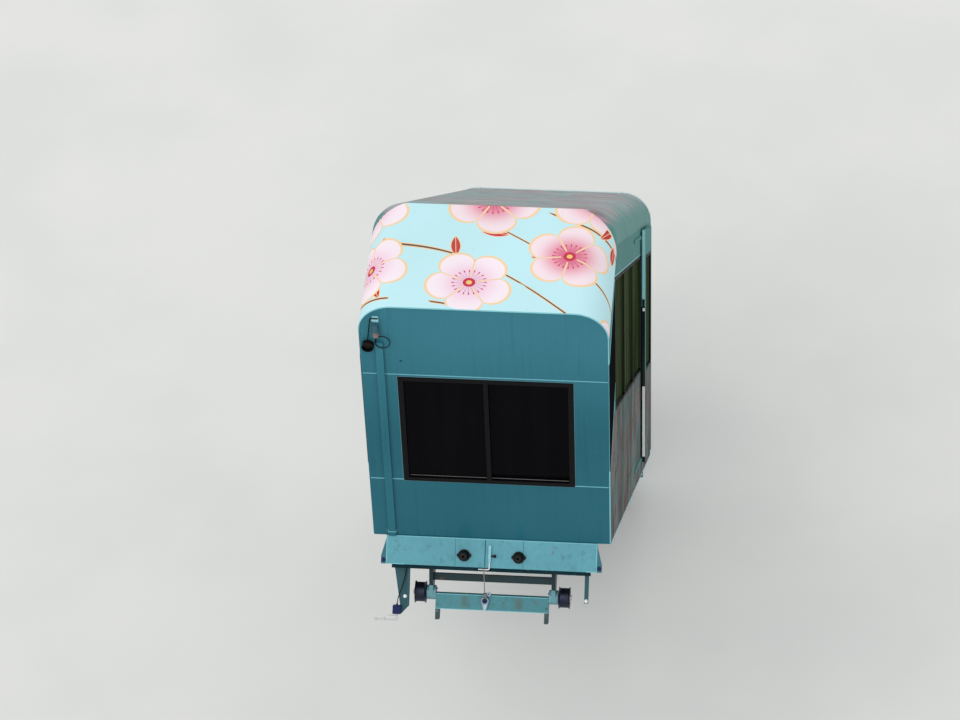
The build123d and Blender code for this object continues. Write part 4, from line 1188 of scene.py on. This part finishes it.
# %% Apron lines
apron_along = along_of(end_face_y, foot_z) - 0.008
apron_top = skirt_over
apron_foot = skirt_over - 0.22
edge_x = apron_half - 0.004
edge_foot = apron_foot + 0.003
edge_top = apron_top - 0.004
edge_ends = [-0.66, 0.72]
edge_corners = [
    (edge_ends[0], edge_foot), (-edge_x, edge_foot), (-edge_x, edge_top),
    (edge_x, edge_top), (edge_x, edge_foot), (edge_ends[1], edge_foot),
]
apron_edge = [spot(x, apron_along + 0.001, over) for x, over in edge_corners]
mould("apron_edges", [apron_edge], bead_paint, "frame_paint", radius=0.0045, sides=8)


def seam_line(x):
    """A seam straight up the apron."""
    return [spot(x, apron_along + 0.002, apron_foot + 0.01), spot(x, apron_along + 0.002, apron_top - 0.01)]


sealant = dark_finish("sealant", seen(76, 138, 152), seen(70, 112, 124), roughness=0.6)
joint_sealant = dark_finish("joint_sealant", seen(34, 82, 96), seen(50, 84, 94), roughness=0.6)
mould("apron_seams", [seam_line(-0.275), seam_line(0.24)], sealant, "frame_paint", radius=0.002, sides=6)
mould("apron_joint", [seam_line(-0.048)], joint_sealant, "frame_paint", radius=0.0045, sides=6)
lip_along = apron_along + 0.014
lip_section = [(0, 0), (0, -0.03), (0.005, -0.03), (0.005, -0.005), (0.04, -0.005), (0.04, 0)]
lip_half = 0.755
lip_outline = [spot(-lip_half, lip_along + reach, apron_foot + rise) for reach, rise in lip_section]
# Near black: painted shade under the apron's lip.
lip_shade_paint = frame_steel("lip_shade_paint", seen(8, 36, 44), rusting=0.0, gloss=0.05)
plates("apron_lip_angle", [(lip_outline, Vector((2 * lip_half, 0, 0)))], lip_shade_paint)

# %% [markdown]
# ## Fasteners
# Bolts hold the rope sockets, the bearings, the claws, the wheel discs and the guards, and plugs fill
# the holes in the ears and the wall. One tree sets a hexagon head on a washer at each point of a guide
# mesh and turns it to the direction stored there.


# %% A tree for bolts
def bolt_tree():
    growth = Growth("bolt", {"Head": "Float", "Height": "Float", "Washer": "Float"})
    settings = {"data_type": "FLOAT_VECTOR"}
    facing = growth.node("GeometryNodeInputNamedAttribute", settings, {"Name": "facing"})
    turned = growth.node("FunctionNodeAlignRotationToVector", {"axis": "Z"}, {"Vector": facing})
    head = growth.node(
        "GeometryNodeMeshCylinder", {},
        {"Vertices": 6, "Radius": growth.given["Head"], "Depth": growth.given["Height"]},
    )
    plate = growth.node(
        "GeometryNodeMeshCylinder", {},
        {"Vertices": 14, "Radius": growth.given["Washer"], "Depth": 0.003},
    )
    lift = growth.node("ShaderNodeMath", {"operation": "MULTIPLY"}, {0: growth.given["Height"], 1: 0.5})
    offset = growth.node("ShaderNodeCombineXYZ", {}, {2: lift})
    raised = growth.node("GeometryNodeTransform", {}, {"Geometry": head, "Translation": offset})
    both = growth.node("GeometryNodeJoinGeometry", {}, {0: [raised, plate]})
    set_on = {"Points": growth.given["Guide"], "Instance": both, "Rotation": turned}
    return growth.end(growth.node("GeometryNodeInstanceOnPoints", {}, set_on))


bolt = bolt_tree()


def bolts(name, places, finish, slot, body="car", **sizes):
    """Bolts as one piece. Each place is a point and the direction that its bolt faces."""
    guide = bpy.data.meshes.new(name)
    guide.from_pydata([tuple(point) for point, _ in places], [], [])
    facing = guide.attributes.new("facing", "FLOAT_VECTOR", "POINT")
    for item, (_, direction) in zip(facing.data, places):
        item.vector = direction
    bolt.grow(name, body, guide, slot, finish=finish, **sizes)


print("bolt inputs", list(bolt.names))


# %% Bolts of the rope sockets
socket_along = apron_along - 0.01
lobe_over = 0.399
lobe_reach = 0.042
socket_bolts = [
    (spot(side * socket_x + lobe * lobe_reach, socket_along, lobe_over), -along_rails)
    for side in (-1, 1) for lobe in (-1, 1)
]
bolts("socket_bolts", socket_bolts, boot_rubber, "black_trim", head=0.0065, height=0.006, washer=0.010)

# %% Bolts of the bearings
axle_places = {
    (end, side): Vector(joint["pos_m"])
    for joint in wheel_joints
    for end, side in [joint["name"].split("_")[:2]]
}
axle_reach = abs(axle_places["uphill", "left"].dot(along_rails))
bearing_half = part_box("bearing_blocks")[1].x
bearing_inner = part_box("axle_beams")[1].x
bolt_steel = metal_finish(
    "bolt_steel", seen(196, 202, 202), seen(112, 92, 76),
    roughness=0.34, brushing=(40, 40, 40), wear=0.45,
)
bolt_paint = painted("bolt_paint", seen(96, 134, 138), seen(52, 70, 70), roughness=0.4, clouding=0.5)


def ring_of_places(centre, direction, radius, count, first_turn=0.0):
    """Places for bolts, evenly round a centre and all facing one way."""
    turns = [first_turn + step * math.tau / count for step in range(count)]
    rays = [math.cos(turn) * along_rails + math.sin(turn) * over_rails for turn in turns]
    return [(centre + radius * ray, direction) for ray in rays]


cap_ring = 0.038
foot_reach = 0.1
foot_over = 0.34
foot_half = 0.016
bearing_bolts = []
for end in (-1, 1):
    for side in (-1, 1):
        centre = spot(side * bearing_inner, end * axle_reach, axle_over)
        bearing_bolts += ring_of_places(centre, Vector((-side, 0, 0)), cap_ring, 4, math.pi / 4)
        mid_x = side * (bearing_inner + bearing_half) / 2
        for reach in (-foot_reach, foot_reach):
            for facing in (-side, side):
                foot = spot(mid_x + facing * foot_half, end * axle_reach + reach, foot_over)
                bearing_bolts.append((foot, Vector((facing, 0, 0))))
bolts("bearing_bolts", bearing_bolts, bolt_paint, "frame_paint", head=0.008, height=0.007, washer=0.012)

# %% Bolts of the claws
claw_x = bearing_inner - 0.015
claw_half = 0.045
claw_rows = [-0.012, -0.062]
claw_bolts = [
    (spot(side * claw_x, end * axle_reach + face * claw_half, row), face * along_rails)
    for end in (-1, 1) for side in (-1, 1) for face in (-1, 1) for row in claw_rows
]
bolts("claw_bolts", claw_bolts, bolt_paint, "frame_paint", head=0.007, height=0.007, washer=0.010)

# %% Bolts of the wheels
disc_half = 0.007
disc_ring = 0.047
for (end, side), centre in axle_places.items():
    outward = Vector((1 if side == "right" else -1, 0, 0))
    wheel = f"wheel_{end}_{side}"
    nut_x = max(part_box(wheel), key=lambda corner: corner.dot(outward)).x
    nut_place = [(Vector((nut_x, centre.y, centre.z)), outward)]
    bolts(
        f"axle_nut_{end}_{side}", nut_place, bolt_steel, "wheel_steel", wheel,
        head=0.021, height=0.014, washer=0.03,
    )
    places = ring_of_places(centre + outward * disc_half, outward, disc_ring, 6)
    bolts(
        f"wheel_bolts_{end}_{side}", places, bolt_steel, "wheel_steel", wheel,
        head=0.0055, height=0.005, washer=0.0075,
    )

# %% Bolts of the guards, the ears, the wall and the roof
guard_face = along_of(end_face_y, foot_z) + 0.088
guard_places = [(-0.655, 0.055), (0.724, 0.078)]
guard_bolts = [(spot(x, guard_face, over), -along_rails) for x, over in guard_places]
bolts("guard_bolts", guard_bolts, bolt_steel, "bright_steel", head=0.010, height=0.009, washer=0.014)
ear_x = apron_half + 0.019
ear_plugs = [(spot(x, apron_along, apron_foot + 0.03), -along_rails) for x in (-ear_x, ear_x)]
bolts("ear_plugs", ear_plugs, switch_case, "switch_blue", head=0.012, height=0.005, washer=0.018)
outwards = Vector((0, -1, 0))
plug_x = -0.606
plug_z = foot_z + 1.895
wall_plug = [(Vector((plug_x, end_face_y, plug_z)), outwards)]
bolts("wall_plug", wall_plug, joint_sealant, "shell_paint", head=0.007, height=0.004, washer=0.010)
stud_inset = 0.02
stud_z = roof_top - slope_fall + stud_inset * math.tan(slope)
roof_studs = [
    (Vector((side * (straight_half - stud_inset), far_face_y - stud_inset, stud_z)), over_rails)
    for side in (-1, 1)
]
bolts("roof_studs", roof_studs, rim_paint, "roof_paint", head=0.011, height=0.014, washer=0.016)

# %% Clip of the duct, and a painted shadow beside it
clip_z = foot_z + 0.06
clip_gap = 0.0015
clip_left = duct_low.x - clip_gap
clip_right = duct_high.x + clip_gap
clip_wing = 0.015
screw_reach = 0.0105
clip_line = [
    (clip_left - clip_wing, end_face_y, clip_z), (clip_left, end_face_y, clip_z),
    (clip_left, duct_low.y - clip_gap, clip_z), (clip_right, duct_low.y - clip_gap, clip_z),
    (clip_right, end_face_y, clip_z), (clip_right + clip_wing, end_face_y, clip_z),
]
mould("duct_clip", [clip_line], bead_paint, "shell_paint", radius=0.003, sides=6)
screw_xs = [clip_left - screw_reach, clip_right + screw_reach]
clip_bolts = [((x, end_face_y, clip_z), outwards) for x in screw_xs]
bolts("clip_screws", clip_bolts, bolt_paint, "shell_paint", head=0.004, height=0.005, washer=0.006)
# A dark bar down the duct's left side, in the sealant's colour, is painted shadow.
duct_shadow_line = [(duct_low.x - 0.001, end_face_y, z) for z in (duct_low.z + 0.02, duct_high.z - 0.02)]
mould("duct_sealant", [duct_shadow_line], joint_sealant, "shell_paint", radius=0.0035, sides=6)

# %% [markdown]
# ## Shackle and switch rod
# The slack-rope link ends in a shackle on the axle beam: a ring round the lug, a split ring above it
# and two legs that taper down to the beam's lower edge, with a strap behind them and a blue nut. The
# switch rod carries a clamp and a short stop rod. The bars come from the moulding tree.


# %% Shackle
def ring(x, along, over, radius, steps=18):
    """A closed ring that faces along the rails."""
    turns = [step * math.tau / steps for step in range(steps + 1)]
    return [spot(x + radius * math.cos(turn), along, over + radius * math.sin(turn)) for turn in turns]


beam_face = axle_reach + 0.045
link_x = (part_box("link_anchor")[0].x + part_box("link_anchor")[1].x) / 2
shackle_along = -beam_face - 0.023
shackle_steel = metal_finish(
    "shackle_steel", seen(170, 190, 202), seen(92, 104, 118),
    roughness=0.3, brushing=(40, 40, 40), wear=0.5,
)
lug_over = 0.032
shackle_lines = [
    ring(link_x, shackle_along, lug_over, radius=0.026),
    ring(link_x + 0.028, shackle_along - 0.012, over=0.088, radius=0.012),
]
leg = [(0.022, 0, 0.018), (0.007, 0.015, -0.04)]
for side in (-1, 1):
    shackle_lines.append([spot(link_x + side * x, shackle_along + back, over) for x, back, over in leg])
mould("link_shackle", shackle_lines, shackle_steel, "bright_steel", radius=0.006, sides=8)
strap = [(-0.02, 0.056), (0.02, 0.056), (0.019, 0.01), (0.007, -0.042), (-0.007, -0.042), (-0.019, 0.01)]
strap_outline = [spot(link_x + x, shackle_along + 0.002, over) for x, over in strap]
plates("shackle_strap", [(strap_outline, along_rails * 0.004)], shackle_steel)
shackle_nut = [(spot(link_x, shackle_along - 0.002, lug_over), -along_rails)]
bolts("shackle_nut", shackle_nut, switch_case, "switch_blue", head=0.012, height=0.012, washer=0.018)

# %% Painted highlights along the edges of the axle beams
beam_half = bearing_inner - 0.004
beam_edges = [
    [spot(side * beam_half, end * beam_face, over) for side in (-1, 1)]
    for end in (-1, 1) for over in (axle_over - 0.003, axle_over - 0.117)
]
mould("axle_beam_edges", beam_edges, bead_paint, "frame_paint", radius=0.003, sides=6)

# %% Clamp and stop of the switch rod
rod_low, rod_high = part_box("switch_arm")
rod_middle = (rod_low + rod_high) / 2
rod_along = along_of(rod_middle.y, rod_middle.z)
rod_over = -0.127
stop_over = rod_over + 0.034
stop_line = [spot(rod_high.x - back, rod_along, stop_over) for back in (0.075, 0.012)]
clamp_ends = [rod_low.x + 0.062, rod_low.x + 0.084]
clamp_line = [spot(x, rod_along, rod_over) for x in clamp_ends]
mould("switch_stop", [stop_line], rod_enamel, "bright_steel", radius=0.0045, sides=8)
mould("switch_clamp", [clamp_line], rod_enamel, "bright_steel", radius=0.0105, sides=12)
clamp_screw = [(spot(sum(clamp_ends) / 2, rod_along, rod_over + 0.009), over_rails)]
bolts("clamp_screw", clamp_screw, bolt_steel, "bright_steel", head=0.006, height=0.014, washer=0.008)

# %% [markdown]
# ## Seats
# The benches have a foam seat and a foam back under a woven cover. Cloth simulation swells a thin
# block a little and softens its edges, as foam does under a tight cover.

# %% A swelling block
seat_margin = 0.012
pad_rounding = 0.02
voxel = 0.014
swell_cap = 0.012


def cushion_mesh(name, low, high):
    """A block with rounded edges between two corners."""
    shape = bmesh.new()
    bmesh.ops.create_cube(shape, size=1)
    middle = (low + high) / 2
    size = high - low
    for vertex in shape.verts:
        vertex.co = Vector([middle[i] + vertex.co[i] * size[i] for i in range(3)])
    corners_and_edges = shape.edges[:] + shape.verts[:]
    bmesh.ops.bevel(
        shape, geom=corners_and_edges, offset=pad_rounding, segments=4, affect="EDGES", profile=0.6
    )
    return settled(name, shape)


def simulated(name, mesh):
    """Swells the block as a pressurised cloth, with the travel of each point capped."""
    block = placed(name, mesh)
    remesh = block.modifiers.new("remesh", "REMESH")
    remesh.mode = "VOXEL"
    remesh.voxel_size = voxel
    bpy.context.view_layer.update()
    evaluated = block.evaluated_get(bpy.context.evaluated_depsgraph_get())
    block.modifiers.clear()
    block.data = bpy.data.meshes.new_from_object(evaluated)
    rest = [v.co.copy() for v in block.data.vertices]
    cloth = block.modifiers.new("cloth", "CLOTH")
    cloth.settings.use_pressure = True
    cloth.settings.uniform_pressure_force = 4
    cloth.settings.effector_weights.gravity = 0
    cloth.settings.quality = 5
    for step in range(1, 21):
        bpy.context.scene.frame_set(step)
    evaluated = block.evaluated_get(bpy.context.evaluated_depsgraph_get())
    swollen = bpy.data.meshes.new_from_object(evaluated)
    block.modifiers.clear()
    bpy.context.scene.frame_set(1)
    for vertex, start, end in zip(block.data.vertices, rest, swollen.vertices):
        travel = end.co - start
        if travel.length > swell_cap:
            travel *= swell_cap / travel.length
        vertex.co = start + travel
    bpy.data.meshes.remove(swollen)
    mesh = block.data
    bpy.data.objects.remove(block)
    return mesh


print("a point travels at most", swell_cap)


# %% Seat cover
def moquette():
    """A short-pile woven cover, deep red with a small check in the weave."""
    finish = Finish("seat_moquette")
    x, y, z = finish.parts(finish.here)
    warp = finish.maths("SINE", x * 1400)
    weft = finish.maths("SINE", (y + z) * 1400)
    weave = warp * weft
    check = finish.maths("SINE", x * 180) * finish.maths("SINE", (y + z) * 180)
    pile = finish.noise(500.0)
    tone = finish.mix(check.rise(0.1, 0.5), seen(110, 34, 44), seen(142, 58, 62))
    return finish.surface(
        base_color=finish.mix(pile * 0.4, tone, seen(72, 22, 32)),
        roughness=0.85 + weave * 0.05,
        sheen_weight=0.4,
        normal=finish.relief(weave * 0.0002 + pile * 0.0004),
    )


seat_cloth = moquette()
print("seat cover nodes", len(seat_cloth.node_tree.nodes))

# %% Bench levels
seat_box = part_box("bench_cushions")
back_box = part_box("bench_backs")
level_count = 5
level_pitch = (far_face_y - end_face_y) / level_count
level_drop = level_pitch * math.tan(slope)
wall_inner_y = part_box("uphill_wall_lower")[1].y
bench_starts = [max(wall_inner_y, end_face_y + level * level_pitch) for level in range(level_count)]
seat_depth = seat_box[1].y - bench_starts[-1]
seat_height = seat_box[1].z - seat_box[0].z - (level_count - 1) * level_drop
back_depth = back_box[1].y - bench_starts[-1]
back_height = back_box[1].z - back_box[0].z - (level_count - 2) * level_drop
print("seat", [round(v, 3) for v in (seat_depth, seat_height)])
print("back", [round(v, 3) for v in (back_depth, back_height)])


# %% Pads
def pads(name, node, size, levels):
    """One simulated pad, copied down the levels as one piece."""
    margin = Vector((seat_margin, seat_margin, seat_margin))
    first = Vector((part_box(node)[0].x, bench_starts[levels[0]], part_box(node)[1].z - size.z))
    pad = simulated(name, cushion_mesh(name, first + margin, first + size - margin))
    shape = bmesh.new()
    for level in levels:
        before = len(shape.verts)
        shape.from_mesh(pad)
        shape.verts.ensure_lookup_table()
        drop = (level - levels[0]) * level_drop
        step = Vector((0, bench_starts[level] - bench_starts[levels[0]], -drop))
        bmesh.ops.translate(shape, verts=shape.verts[before:], vec=step)
    mesh = settled(name, shape)
    for polygon in mesh.polygons:
        polygon.use_smooth = True
    mesh.materials.append(seat_cloth)
    piece = placed(name, mesh)
    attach(piece, "car")
    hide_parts(node)
    print(name, "faces", len(mesh.polygons))


seat_width = seat_box[1].x - seat_box[0].x
pads("seat_cushions", "bench_cushions", Vector((seat_width, seat_depth, seat_height)), range(level_count))
pads("seat_backs", "bench_backs", Vector((seat_width, back_depth, back_height)), range(1, level_count))
